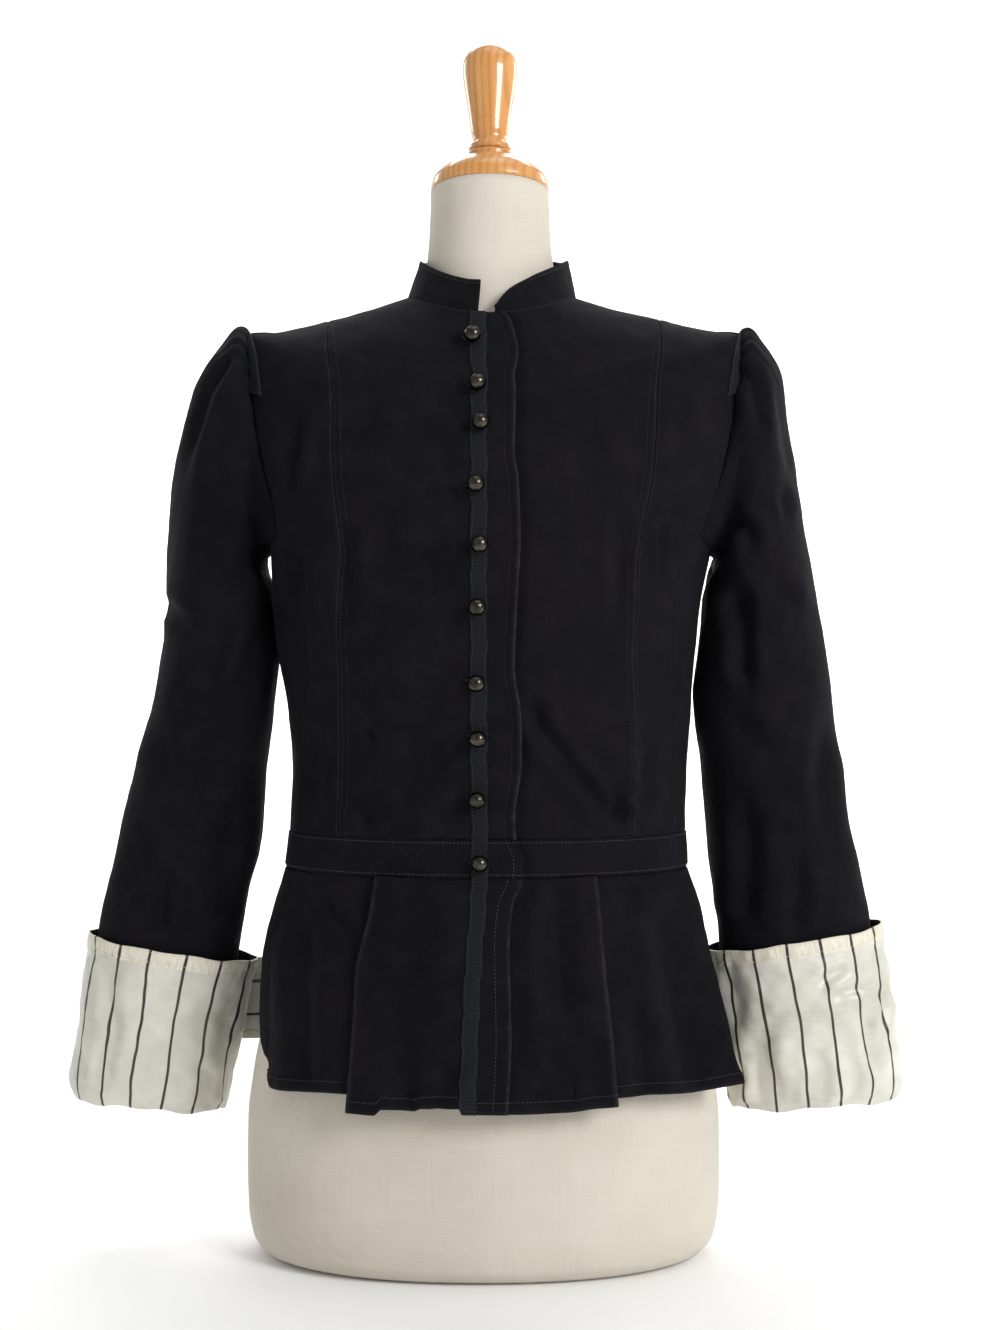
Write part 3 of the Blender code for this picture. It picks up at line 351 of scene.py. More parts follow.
def waves(points, table):
    total = np.zeros(points.shape[:-1])
    for length, direction, phase, size in table:
        way = np.array(direction) / np.linalg.norm(direction)
        bend = 0.6 * np.sin(points @ (way[::-1] * 41.0) + phase)
        total += size * np.sin(points @ way * (2 * math.pi / length) + phase + bend)
    return total


def bothWaves(points):
    return waves(points, slowWaves) + waves(points, fineWaves)


# making pieces

def clothUv(points, closed):
    # the cloth's own length across and up, in metres, for weaves and stripes
    if closed:
        points = np.concatenate([points, points[:, :1]], axis=1)
    across = np.linalg.norm(np.diff(points, axis=1), axis=-1)
    u = np.concatenate([np.zeros((len(points), 1)), np.cumsum(across, axis=1)], axis=1)
    up = np.linalg.norm(np.diff(points, axis=0), axis=-1).mean(axis=1)
    v = np.concatenate([[0.0], np.cumsum(up)])
    return np.stack([u, np.repeat(v[:, None], u.shape[1], axis=1)], axis=-1)


def gridNormals(points, closed):
    if closed:
        across = np.roll(points, -1, axis=1) - np.roll(points, 1, axis=1)
    else:
        across = np.gradient(points, axis=1)
    return unit(np.cross(across, np.gradient(points, axis=0)))


def link(name, data):
    thing = bpy.data.objects.new(name, data)
    bpy.context.scene.collection.objects.link(thing)
    return thing


def smoothMesh(name, points, faces, materials):
    mesh = bpy.data.meshes.new(name)
    mesh.from_pydata(points, [], faces)
    for material in materials:
        mesh.materials.append(material)
    mesh.shade_smooth()
    return mesh


pieceNames = {"back": "backPanel", "collar": "standCollar"}


def camel(name):
    first, *rest = name.split("_")
    return pieceNames.get(name, first + "".join(word.capitalize() for word in rest))


def gridPiece(name, points, outward, materials, thickness, closed=False, attributes=None, uv=None):
    # one woven layer: the points are its outer face, and its thickness goes inwards
    rows, columns = points.shape[:2]
    i, j = np.meshgrid(np.arange(rows - 1), np.arange(columns if closed else columns - 1), indexing="ij")
    i, j = i.reshape(-1), j.reshape(-1)
    corners = [(i, j), (i, j + 1), (i + 1, j + 1), (i + 1, j)]
    normals = gridNormals(points, closed)
    if (normals * outward).sum(axis=-1).mean() < 0:
        corners = corners[::-1]
    faces = np.stack([row * columns + column % columns for row, column in corners], axis=-1)
    mesh = smoothMesh(camel(name), points.reshape(-1, 3).tolist(), faces.tolist(), materials)
    uv = clothUv(points, closed) if uv is None else uv
    loops = np.stack([uv[row, column] for row, column in corners], axis=1).reshape(-1)
    mesh.uv_layers.new(name="cloth").data.foreach_set("uv", loops.astype(np.float32))
    for label, values in (attributes or {}).items():
        layer = mesh.attributes.new(label, "FLOAT", "POINT")
        whole = np.broadcast_to(values, (rows, columns)).reshape(-1)
        layer.data.foreach_set("value", whole.astype(np.float32))
    piece = link(camel(name), mesh)
    if thickness:
        wall = piece.modifiers.new("wall", "SOLIDIFY")
        wall.thickness = thickness
        wall.offset = -1.0
        if len(materials) > 1:
            wall.material_offset = 1
    return piece


def runOf(points, axis):
    # the distance along the cloth from its lower edge, on axis 0, or from its left edge, on axis 1
    steps = np.cumsum(np.linalg.norm(np.diff(points, axis=axis), axis=-1), axis=axis)
    return np.concatenate([np.zeros_like(steps.take([0], axis=axis)), steps], axis=axis)


def edgeDistances(points):
    left = runOf(points, 1)
    return left, left[:, -1:] - left


def seamShape(points, sides=(True, True)):
    # at a seam the cloth rolls in, and just beside it the stitches pull small puckers
    total = np.zeros(points.shape[:2])
    for distance, wanted in zip(edgeDistances(points), sides):
        if not wanted:
            continue
        total -= body["seamDip"] * bell(distance, body["seamRoll"])
        ripple = np.sin(points[..., 2] * 420 + 3 * np.sin(points[..., 2] * 57 + points[..., 0] * 20))
        total += body["pucker"] * ripple * bell(distance, body["puckerReach"])
        total += body["ridge"] * bell(distance - body["ridgeAt"], body["ridgeWidth"])
    return total


def seamWearAndHighlight(points, sides=(True, True)):
    # lighter along the seams and edges: partly the dye rubbing pale, partly painted highlight where those
    # edges catch light
    left, right = edgeDistances(points)
    nearest = np.minimum(left if sides[0] else 1.0, right if sides[1] else 1.0)
    return body["wear"] * bell(nearest, body["wearAndHighlightWidth"])


def signedSide(theta, side):
    # mirrors a grid of angles for the wearer's right side, so its columns still run towards +X
    return theta if side > 0 else -theta[:, ::-1]


# materials

def linear(code):
    # an sRGB hex colour as the linear values that the shader wants
    parts = [int(code[i:i + 2], 16) / 255 for i in (1, 3, 5)]
    return tuple(c / 12.92 if c <= 0.04045 else ((c + 0.055) / 1.055) ** 2.4 for c in parts) + (1.0,)


def feed(tree, socket, value):
    # another node's output, a hex colour or a plain value
    if isinstance(value, bpy.types.NodeSocket):
        tree.links.new(value, socket)
    else:
        socket.default_value = linear(value) if isinstance(value, str) else value


def addNode(tree, kind, inputs=None, **settings):
    node = tree.nodes.new(kind)
    for key, value in settings.items():
        setattr(node, key, value)
    for key, value in (inputs or {}).items():
        feed(tree, node.inputs[key], value)
    return node


def newMaterial(name, **inputs):
    material = bpy.data.materials.new(name)
    material.use_nodes = True
    shader = material.node_tree.nodes["Principled BSDF"]
    for key, value in inputs.items():
        feed(material.node_tree, shader.inputs[key.replace("_", " ")], value)
    return material, material.node_tree, shader


def objectCoords(tree):
    return addNode(tree, "ShaderNodeTexCoord").outputs["Object"]


def clothCoords(tree):
    return addNode(tree, "ShaderNodeUVMap", uv_map="cloth").outputs["UV"]


def attribute(tree, name):
    return addNode(tree, "ShaderNodeAttribute", attribute_name=name).outputs["Fac"]


def stretched(tree, vector, scale, turn=(0, 0, 0)):
    inputs = {"Vector": vector, "Rotation": turn, "Scale": scale}
    return addNode(tree, "ShaderNodeMapping", inputs).outputs["Vector"]


def mixColours(tree, share, first, second):
    inputs = {0: share, 6: first, 7: second}
    return addNode(tree, "ShaderNodeMix", inputs, data_type="RGBA", clamp_factor=True).outputs[2]


def levels(tree, value, low, high, to=(0.0, 1.0)):
    inputs = {"Value": value, "From Min": low, "From Max": high, "To Min": to[0], "To Max": to[1]}
    return addNode(tree, "ShaderNodeMapRange", inputs, clamp=True).outputs["Result"]


def stain(tree, under, over, value, low, high, most=1.0):
    # lays one colour over another as the value goes from low to high
    return mixColours(tree, levels(tree, value, low, high, (0.0, most)), under, over)


def maths(tree, operation, first, second=0.0):
    return addNode(tree, "ShaderNodeMath", {0: first, 1: second}, operation=operation).outputs[0]


def noise(tree, vector, scale, detail=2.0, roughness=0.5):
    inputs = {"Vector": vector, "Scale": scale, "Detail": detail, "Roughness": roughness}
    return addNode(tree, "ShaderNodeTexNoise", inputs).outputs["Fac"]


def bands(tree, vector, period, distortion=0.0, direction="X"):
    # sine bands this many metres apart
    inputs = {"Vector": vector, "Scale": 0.31416 / period, "Distortion": distortion, "Detail": 1.0}
    return addNode(tree, "ShaderNodeTexWave", inputs, bands_direction=direction).outputs["Fac"]


def bump(tree, shader, height, distance, strength=1.0, under=None):
    inputs = {"Height": height, "Distance": distance, "Strength": strength}
    if under is not None:
        inputs["Normal"] = under
    normal = addNode(tree, "ShaderNodeBump", inputs).outputs["Normal"]
    feed(tree, shader.inputs["Normal"], normal)
    return normal


twill = {"base": "#0f0d12", "high": "#18161c", "low": "#08080a", "fibre": "#1c1b20", "wear": "#323037",
         "lint": "#47464c", "wale": 0.0014, "thread": 0.0009, "slant": math.radians(27)}


def cottonTwill():
    # Black cotton twill, woven: a matt face with steep diagonal wales, which looks soft and a little
    # dusty. Real wales are 0.6 mm apart, and are drawn at 1.4 mm so that they show.
    material, tree, shader = newMaterial("cottonTwillBlack", Roughness=0.85, Specular_IOR_Level=0.08,
                                         Sheen_Weight=0.018, Sheen_Roughness=0.55, Sheen_Tint="#b9b7c4")
    place, uv = objectCoords(tree), clothCoords(tree)
    wale = bands(tree, stretched(tree, uv, (1, 1, 1), (0, 0, twill["slant"])), twill["wale"], 1.2)
    fibres = noise(tree, uv, 1 / twill["thread"], 2.0, 0.6)
    wide, middle = noise(tree, place, 13.0, 3.0, 0.55), noise(tree, place, 55.0, 3.0, 0.6)
    colour = stain(tree, twill["low"], twill["base"], wide, 0.36, 0.66)
    colour = stain(tree, colour, twill["high"], middle, 0.45, 0.75, 0.55)
    colour = stain(tree, colour, twill["high"], wale, 0.35, 1.0, 0.30)
    colour = stain(tree, colour, twill["fibre"], fibres, 0.52, 0.80, 0.40)
    # seams, edges and pleat folds are painted paler: partly the dye rubbing pale, partly painted highlight
    # where those edges catch light
    rubbedAndLit = levels(tree, noise(tree, place, 160.0), 0.35, 0.7, (0.25, 0.85))
    rubbedAndLit = maths(tree, "MULTIPLY", attribute(tree, "wear"), rubbedAndLit)
    colour = mixColours(tree, rubbedAndLit, colour, twill["wear"])
    specks = addNode(tree, "ShaderNodeTexVoronoi", {"Vector": place, "Scale": 95.0}).outputs["Distance"]
    lint = maths(tree, "MULTIPLY", levels(tree, specks, 0.09, 0.02, (0.0, 0.55)),
                 levels(tree, noise(tree, place, 31.0), 0.60, 0.72))
    feed(tree, shader.inputs["Base Color"], mixColours(tree, lint, colour, twill["lint"]))
    soft = bump(tree, shader, middle, 0.0012, 0.35)
    weave = maths(tree, "ADD", wale, maths(tree, "MULTIPLY", fibres, 0.9))
    bump(tree, shader, weave, 0.00022, 0.75, soft)
    return material


grosgrain = {"base": "#171a1f", "high": "#22262d", "low": "#0c0d10", "rib": 0.0015, "fibre": 1500.0}


def slateGrosgrain():
    # Slate grosgrain ribbon, woven with ribs across it: matt, faintly bluish, paler on each rib
    material, tree, shader = newMaterial("grosgrainRibbonSlate", Roughness=0.75, Sheen_Weight=0.03,
                                         Sheen_Roughness=0.5, Specular_IOR_Level=0.12)
    rib = bands(tree, clothCoords(tree), grosgrain["rib"], 0.6, "Y")
    threads = noise(tree, clothCoords(tree), grosgrain["fibre"], 2.0, 0.6)
    colour = stain(tree, grosgrain["low"], grosgrain["base"], rib, 0.1, 0.9)
    colour = stain(tree, colour, grosgrain["high"], threads, 0.5, 0.8, 0.7)
    feed(tree, shader.inputs["Base Color"], colour)
    bump(tree, shader, maths(tree, "ADD", rib, maths(tree, "MULTIPLY", threads, 0.5)), 0.0003, 0.8)
    return material


satin = {"ground": "#d3d1c6", "shade": "#b9b7aa", "bright": "#e6e3d9", "stripe": "#22171a",
         "band": "#dcd8ca", "bandShade": "#c9c2ae", "pitch": 0.0273, "stripeWidth": 0.0025,
         "bandHeight": 0.0118, "thread": 0.0011, "bandEdge": 0.0002}


def stripedSatin():
    # Striped polyester satin lining: smooth floats give long soft highlights over cream, the stripes
    # are a dark warp, and a cream cotton band binds the edge. Its ground threads are drawn 1.1 mm apart.
    material, tree, shader = newMaterial("satinLiningStriped", Specular_IOR_Level=0.65, Sheen_Weight=0.08,
                                         Sheen_Roughness=0.35, Anisotropic=0.45)
    uv = clothCoords(tree)
    along = addNode(tree, "ShaderNodeSeparateXYZ", {"Vector": uv}).outputs["X"]
    wander = levels(tree, noise(tree, uv, 17.0, 2.0), 0.2, 0.8, (-0.0024, 0.0024))
    spot = maths(tree, "FRACT", maths(tree, "DIVIDE", maths(tree, "ADD", along, wander), satin["pitch"]))
    away = maths(tree, "ABSOLUTE", maths(tree, "SUBTRACT", spot, 0.5))
    half = satin["stripeWidth"] / satin["pitch"] / 2
    stripe = levels(tree, away, half * 1.15, half * 0.75)
    cloudy = noise(tree, objectCoords(tree), 24.0, 3.0, 0.6)
    weft = noise(tree, stretched(tree, uv, (60, 900, 1)), 1.0, 2.0)
    cotton = noise(tree, stretched(tree, uv, (760, 90, 1)), 1.0, 2.0, 0.6)
    ground = stain(tree, satin["shade"], satin["ground"], cloudy, 0.35, 0.7)
    ground = stain(tree, ground, satin["bright"], weft, 0.45, 0.8, 0.22)
    ground = stain(tree, ground, satin["bright"], bands(tree, uv, satin["thread"], 2.5), 0.6, 1.0, 0.18)
    band = stain(tree, satin["bandShade"], satin["band"], cotton, 0.35, 0.62)
    onBand = levels(tree, attribute(tree, "fromTop"), satin["bandHeight"] + satin["bandEdge"],
                    satin["bandHeight"] - satin["bandEdge"])
    ground = mixColours(tree, onBand, ground, band)
    feed(tree, shader.inputs["Base Color"], mixColours(tree, stripe, ground, satin["stripe"]))
    feed(tree, shader.inputs["Roughness"], levels(tree, onBand, 0.0, 1.0, (0.38, 0.6)))
    soft = bump(tree, shader, cloudy, 0.004, 0.4)
    weave = maths(tree, "ADD", weft, maths(tree, "MULTIPLY", cotton, onBand))
    bump(tree, shader, weave, 0.00018, 0.6, soft)
    return material


linen = {"base": "#cfc8bb", "shade": "#bfb7a9", "bright": "#dbd5ca", "stain": "#b9ad98", "thread": 0.0011,
         "slub": 18}


def naturalLinen():
    # Natural linen cover, plain woven and pulled tight: matt cream with uneven slubs both ways.
    # Real threads are 0.5 mm apart, and are drawn at 1.1 mm so that they show.
    material, tree, shader = newMaterial("linenCoverNatural", Roughness=0.9, Sheen_Weight=0.1,
                                         Specular_IOR_Level=0.2)
    place, uv = objectCoords(tree), clothCoords(tree)
    pitch, slub = 1 / linen["thread"], linen["slub"]
    weave = maths(tree, "ADD", *(noise(tree, stretched(tree, uv, scale), 1.0, 2.0)
                                 for scale in ((pitch, slub, 1), (slub, pitch, 1))))
    colour = stain(tree, linen["shade"], linen["base"], noise(tree, place, 7.0, 3.0, 0.55), 0.35, 0.7)
    colour = stain(tree, colour, linen["bright"], weave, 0.85, 1.3, 0.28)
    colour = stain(tree, colour, linen["stain"], noise(tree, place, 26.0, 4.0, 0.6), 0.62, 0.80, 0.22)
    feed(tree, shader.inputs["Base Color"], colour)
    bump(tree, shader, weave, 0.00025, 0.5)
    return material


beech = {"base": "#c98a45", "dark": "#9c5c27", "light": "#d9a05c", "grain": 0.0055}


def varnishedBeech():
    # Turned beech under a clear gloss varnish: honey brown, with rings round the turning and short flecks
    material, tree, shader = newMaterial("beechVarnished", Roughness=0.34, Coat_Weight=0.8,
                                         Coat_Roughness=0.06, Specular_IOR_Level=0.5)
    place = objectCoords(tree)
    along = stretched(tree, place, (1.0, 1.0, 0.13), (0.06, 0.10, 0.4))
    flecks = noise(tree, stretched(tree, place, (900, 900, 120)), 1.0, 2.0)
    colour = stain(tree, beech["base"], beech["light"], noise(tree, along, 38.0, 3.0), 0.3, 0.7)
    colour = stain(tree, colour, beech["dark"], bands(tree, along, beech["grain"], 3.2), 0.45, 1.0, 0.38)
    colour = stain(tree, colour, beech["dark"], flecks, 0.60, 0.75, 0.45)
    feed(tree, shader.inputs["Base Color"], colour)
    bump(tree, shader, flecks, 0.00008, 0.3)
    return material


def antiquedMetal():
    # Cast metal balls, plated and antiqued: half gloss gunmetal with brown in the dull patches
    material, tree, shader = newMaterial("gunmetalAntiqued", Metallic=1.0)
    place = objectCoords(tree)
    patches = noise(tree, place, 190.0, 3.0, 0.5)
    feed(tree, shader.inputs["Base Color"], stain(tree, "#37342f", "#544e46", patches, 0.35, 0.68))
    feed(tree, shader.inputs["Roughness"], levels(tree, patches, 0.3, 0.7, (0.30, 0.20)))
    bump(tree, shader, noise(tree, place, 1600.0), 0.00003, 0.3)
    return material


def sewingThread(name, colour, dark):
    # Spun polyester thread: a matt twisted yarn painted a little paler than the cloth it holds, partly its
    # own colour and partly painted highlight on the stitches
    material, tree, shader = newMaterial(name, Roughness=0.7, Sheen_Weight=0.02, Specular_IOR_Level=0.15)
    shade = noise(tree, objectCoords(tree), 700.0, 2.0)
    feed(tree, shader.inputs["Base Color"], stain(tree, dark, colour, shade, 0.35, 0.65))
    return material


def floorPaper(colour):
    material, tree, shader = newMaterial("floorPaper", Roughness=0.95, Specular_IOR_Level=0.2)
    shade = noise(tree, objectCoords(tree), 1.2, 1.0)
    feed(tree, shader.inputs["Base Color"], mixColours(tree, shade, colour, "#fdfdfd"))
    return material


cloths = {
    "twill": cottonTwill(), "ribbon": slateGrosgrain(), "satin": stripedSatin(), "linen": naturalLinen(),
    "beech": varnishedBeech(), "metal": antiquedMetal(),
    "blackThread": sewingThread("threadBlack", "#34323a", "#201f24"),
    # the hem's black thread is painted paler still, as painted highlight on its stitches
    "hemThread": sewingThread("threadBlackPaintedHighlight", "#56525c", "#37343c"),
    "blueThread": sewingThread("threadSlate", "#3d434c", "#25282e"),
    "creamThread": sewingThread("threadCream", "#e0d6b8", "#bfb391"),
}
print("materials made")


# The folds that the cloth shows, by the plane that their line crosses in cm and how much of it fades in
# and out. Each row: width and depth in mm, then the points of the photograph it runs through. Those of the
# hidden back are guessed pulls between the shoulder blades and above the band.

bodyFolds = foldRows({
    (-12, 0.25, 0.25): [
        (6, 2.2, 294, 402, 286, 450, 279, 489), (4.5, 1.4, 297, 424, 291, 460, 287, 493),
        (8.5, 3.4, 300, 500, 292, 560, 290, 640, 293, 700), (5, 1.8, 280, 505, 282, 570, 279, 630),
        (4, 1.2, 363, 730, 372, 743), (3.2, 1.4, 664, 514, 666, 575), (3, 1.3, 673, 520, 675, 570),
        (3.2, 1.4, 681, 514, 683, 575)],
    (-12, 0.4, 0.5): [(6, 2, 344, 510, 345, 575, 344, 640), (6.5, 2.1, 619, 493, 622, 560, 619, 638)],
    (-12, 0.5, 0.5): [
        (8, 1.1, 381, 493, 385, 550, 387, 606), (9, 0.9, 560, 420, 590, 450, 600, 490),
        (7, 1.2, 690, 360, 684, 420, 678, 470), (10, 1, 430, 640, 425, 700, 430, 760)],
    (-12, 0.6, 0.3): [(6, 1.1, 420, 470, 444, 450, 468, 436)],
    (-12, 0.4, 0.1): [(5, 1.5, 346, 799, 365, 830)],
    (-12, 0.5, 0.3): [(7, 1.2, 422, 762, 449, 772)],
    (-12, 0.2, 0.6): [(6, 1, 470, 560, 440, 578, 410, 588)],
    (-12, 0.25, 0.05): [(6.2, 3.4, 526, 686, 541, 730, 562, 757, 587, 786, 604, 807, 625, 824)],
    (-12, 0.5, 0.2): [(8, 1.6, 545, 700, 575, 745, 612, 782, 640, 800)],
    (-12, 0.5, 0.05): [(4.5, 2, 600, 770, 618, 800, 630, 826)],
    (-12, 0.4, 0.2): [(6, 1.4, 650, 690, 652, 760, 650, 820), (7, 1.4, 304, 700, 308, 760, 306, 820)],
    (11, 0.25, 0.25): [(8, 2, 330, 420, 338, 500, 332, 590), (8, 2, 672, 430, 664, 510, 668, 600)],
    (10, 0.5, 0.05): [(7.5, 1.8, 430, 700, 436, 760, 444, 822), (7.5, 2, 575, 690, 566, 755, 556, 822)],
    (10, 0.5, 0.2): [(9, 1.8, 350, 640, 380, 720, 400, 800), (8.5, 1.6, 655, 650, 628, 725, 606, 806)],
    (10, 0.5, 0.5): [(10, 1.1, 440, 360, 500, 372, 560, 362)],
})
peplumFolds = foldRows({
    (-12, 0.2, 0.5): [(7, 2.2, 314, 900, 335, 930, 358, 955)],
    (-12, 0.3, 0.5): [(10, 2.2, 444, 912, 415, 955, 383, 999)],
    (-12, 0.5, 0.1): [(7, 2.2, 460, 1050, 446, 1080, 431, 1110)],
    (-12, 0.1, 0.4): [(10, 2.4, 559, 884, 561, 990, 572, 1060)],
    (-12, 0.1, 0.5): [(6, 1.4, 622, 884, 632, 908, 639, 930)],
    (-12, 0.3, 0): [(11, 3.6, 660, 900, 680, 985, 694, 1080), (10, 2.6, 300, 905, 296, 990, 300, 1085)],
    (-12, 0.5, 0): [
        (9, 2.2, 630, 980, 640, 1040, 648, 1095), (9, 1.6, 400, 1000, 404, 1060, 402, 1112),
        (8, 1.8, 592, 1010, 590, 1060, 594, 1110)],
    (13, 0.3, 0): [(13, 2.2, 452, 890, 450, 980, 446, 1110), (13, 2.4, 548, 890, 552, 985, 556, 1110)],
    (12, 0.3, 0): [(11, 2.4, 330, 905, 322, 990, 316, 1100), (11, 2.4, 672, 905, 682, 990, 690, 1100)],
})
sleeveFolds = {
    "right": foldRows({
        (-5, 0.1, 0.5): [
            (5, 2.4, 232, 352, 207, 393, 192, 446, 180, 494), (6.5, 2.2, 262, 540, 240, 580, 205, 610)],
        (-5, 0.25, 0.25): [(7, 3, 244, 594, 230, 630, 218, 659, 210, 693)],
        (-5, 0.2, 0.5): [(8, 2.2, 268, 600, 250, 650, 240, 720)],
        (-3, 0.05, 0.5): [(6, 2.2, 160, 600, 185, 622, 206, 636)],
        (-2, 0.4, 0.1): [(5.5, 2.6, 162, 870, 159, 900, 156, 935), (9, 2, 238, 780, 222, 850, 216, 930)],
        (-3, 0.5, 0.5): [(9, 1.8, 150, 700, 165, 770, 168, 840)],
        (-6, 0.3, 0.5): [(10, 1.8, 225, 400, 222, 470, 228, 540)],
        (-5, 0.3, 0.3): [(7, 2, 250, 420, 252, 480, 262, 530)],
        (6, 0.25, 0.25): [
            (8, 2.4, 180, 560, 205, 640, 190, 720), (8, 2.8, 255, 540, 225, 600, 190, 640),
            (9, 2.2, 240, 400, 225, 470, 232, 540)],
        (7, 0.25, 0.25): [(9, 2.2, 150, 820, 180, 870, 205, 930)],
    }),
    "left": foldRows({
        (-5, 0.2, 0.4): [(5.5, 2.8, 728, 518, 745, 530, 757, 556)],
        (-5, 0.25, 0.25): [
            (6.5, 3.2, 744, 575, 740, 609, 743, 669, 750, 698), (6, 2.4, 769, 580, 786, 592, 805, 607),
            (5, 1.6, 778, 492, 786, 502, 790, 520)],
        (-5, 0.1, 0.5): [(8, 2.4, 716, 560, 735, 600, 770, 640)],
        (-5, 0.05, 0.6): [(6, 2.6, 746, 370, 756, 400, 764, 450)],
        (-4, 0.2, 0.5): [(8, 1.8, 772, 380, 790, 440, 800, 510)],
        (-3, 0.2, 0.5): [(9, 2, 722, 700, 750, 740, 800, 770)],
        (-2, 0.4, 0.1): [(8.5, 2.4, 742, 780, 752, 860, 748, 930)],
        (-2, 0.5, 0.4): [(9, 2.2, 826, 700, 822, 780, 834, 860)],
        (-1, 0.5, 0.1): [(7, 1.8, 795, 840, 800, 890, 796, 935)],
        (6, 0.25, 0.25): [
            (8, 2.4, 820, 560, 790, 640, 806, 730), (8, 2.8, 745, 540, 778, 600, 815, 640),
            (9, 2.2, 760, 400, 776, 470, 768, 540)],
        (7, 0.25, 0.25): [(9, 2.2, 850, 820, 820, 870, 790, 930)],
    }),
}
cuffFolds = {
    "right": foldRows({
        (0, 0.3, 0.1): [(7, 1.6, 100, 960, 112, 1030, 96, 1098)],
        (0, 0.5, 0): [(8, 1.8, 165, 990, 172, 1050, 160, 1112)],
        (0, 0.4, 0.1): [
            (7, 1.6, 230, 985, 222, 1050, 226, 1114), (5, 1.4, 190, 1060, 205, 1080, 200, 1114)],
        (0, 0.5, 0.5): [(6, 1, 120, 1010, 150, 1025, 185, 1020)],
        (0, 0.25, 0.25): [(5, 1.2, 90, 1040, 100, 1065, 98, 1096)],
        (8, 0.25, 0.25): [
            (8, 1.8, 110, 980, 130, 1050, 120, 1110), (8, 1.8, 200, 980, 190, 1040, 206, 1110)],
    }),
    "left": foldRows({
        (0, 0.25, 0.25): [
            (5, 1.8, 815, 984, 832, 976, 852, 968), (4.5, 1.4, 830, 1000, 850, 990, 872, 992),
            (5, 1.4, 868, 1010, 872, 1050, 880, 1085)],
        (1, 0.25, 0.25): [(3.5, 1.6, 880, 985, 890, 1010, 884, 1040)],
        (0, 0.5, 0): [
            (8, 1.7, 770, 1000, 762, 1050, 772, 1108), (6, 1.8, 815, 1040, 822, 1075, 815, 1112),
            (5, 1.6, 850, 1050, 858, 1080, 850, 1110)],
        (0, 0.3, 0.5): [(7, 1.4, 730, 960, 738, 1010, 752, 1060)],
        (0, 0.4, 0): [(4.5, 1.4, 735, 1060, 742, 1085, 740, 1105)],
        (8, 0.25, 0.25): [
            (8, 1.8, 770, 980, 780, 1050, 770, 1110), (8, 1.8, 850, 980, 840, 1040, 850, 1110)],
    }),
}

bothSides = ((-1, "right"), (1, "left"))
pieces = {}     # every finished piece by name
grids = {}      # its outer face as rows and columns of points, for stitches and what lies on it


def layerRise(points, normals, folds, calm=1.0):
    return foldOffset(points, normals, folds) + calm * bothWaves(points)


def makePiece(name, points, outward, cloth, thickness, closed=False, uv=None, **attributes):
    # a finished piece, with its outer face kept for the stitches; its flat size is worked out but not kept
    materials = [cloths[each] for each in cloth.split()]
    pieces[name] = gridPiece(name, points, outward, materials, thickness, closed, attributes, uv)
    grids[name] = (points, closed)
    ring = np.concatenate([points, points[:, :1]], axis=1) if closed else points
    wide, tall = runOf(ring, 1)[:, -1].max(), runOf(ring, 0)[-1].max()


def onTable(table, theta, level, folds, calm=1.0):
    # points of a table's plain form, their normals, and how far its folds and waves lift the cloth
    theta, level = np.broadcast_arrays(theta, level)
    base, normals = sectionPoint(table, theta, level), sectionNormal(table, theta, level)
    return base, normals, layerRise(base, normals, folds, calm)


def layCloth(name, theta, level, out=0.0, sides=(True, True), thickness=body["cloth"], extra=None,
             worn=None):
    # a piece of the jacket's body: folds, waves and seams lift or lower its face
    base, normals, rise = onTable(bodyTable, theta, level, bodyFolds)
    rise = out + rise + seamShape(base, sides)
    wear = seamWearAndHighlight(base, sides)
    # the extra lift comes with a lighter line, painted along an edge as painted highlight
    if extra is not None:
        rise = rise + extra(base)
        wear = np.maximum(wear, worn(base))
    makePiece(name, base + normals * rise[..., None], normals, "twill", thickness, wear=wear)


# the jacket's body

lowLevels = between(bodyLevels, body["rowsBetween"])
frontLevels = np.concatenate([fanLevel(lowLevels),
                              between((body["shoulderTop"],) + neckLevels, body["rowsBetween"])[1:]])


def lapRise(x, edge):
    # the under front lies deeper beneath the lap, and comes up again beyond its edge
    return -body["lapStep"] * (1 - smoothStep((x - edge - body["lapStart"]) / body["lapBlend"]))


def freeEdge(base):
    # the lapping front's edge is turned under, so it is a little thicker, and it wavers
    distance = edgeDistances(base)[1]
    return 0.0016 * smoothStep(1 - (distance - 0.0035) / 0.003) - 0.0005 * bell(distance, 0.0007)


def makeFronts():
    level = frontLevels[:, None]
    seam = princessAngle(level)
    seam = seam - halfGap(seam, level)
    edge = angleAtX(bodyTable, lapEdge(level), level)
    steps = edgeSteps(58)[None, :]
    theta = -seam + (edge + seam) * steps
    # the lap's free edge is painted lighter, a painted highlight where its fold catches light
    layCloth("front_right", theta, level, 0.0, (True, False), extra=freeEdge,
             worn=lambda base: bell(edgeDistances(base)[1], body["lapHighlight"]))
    start = angleAtX(bodyTable, ribbonX(level) - body["underlapReach"], level)
    theta = start + (seam - start) * steps
    x = sectionPoint(bodyTable, theta, level)[..., 0]
    layCloth("front_left", theta, level, lapRise(x, lapEdge(level)), (False, True))


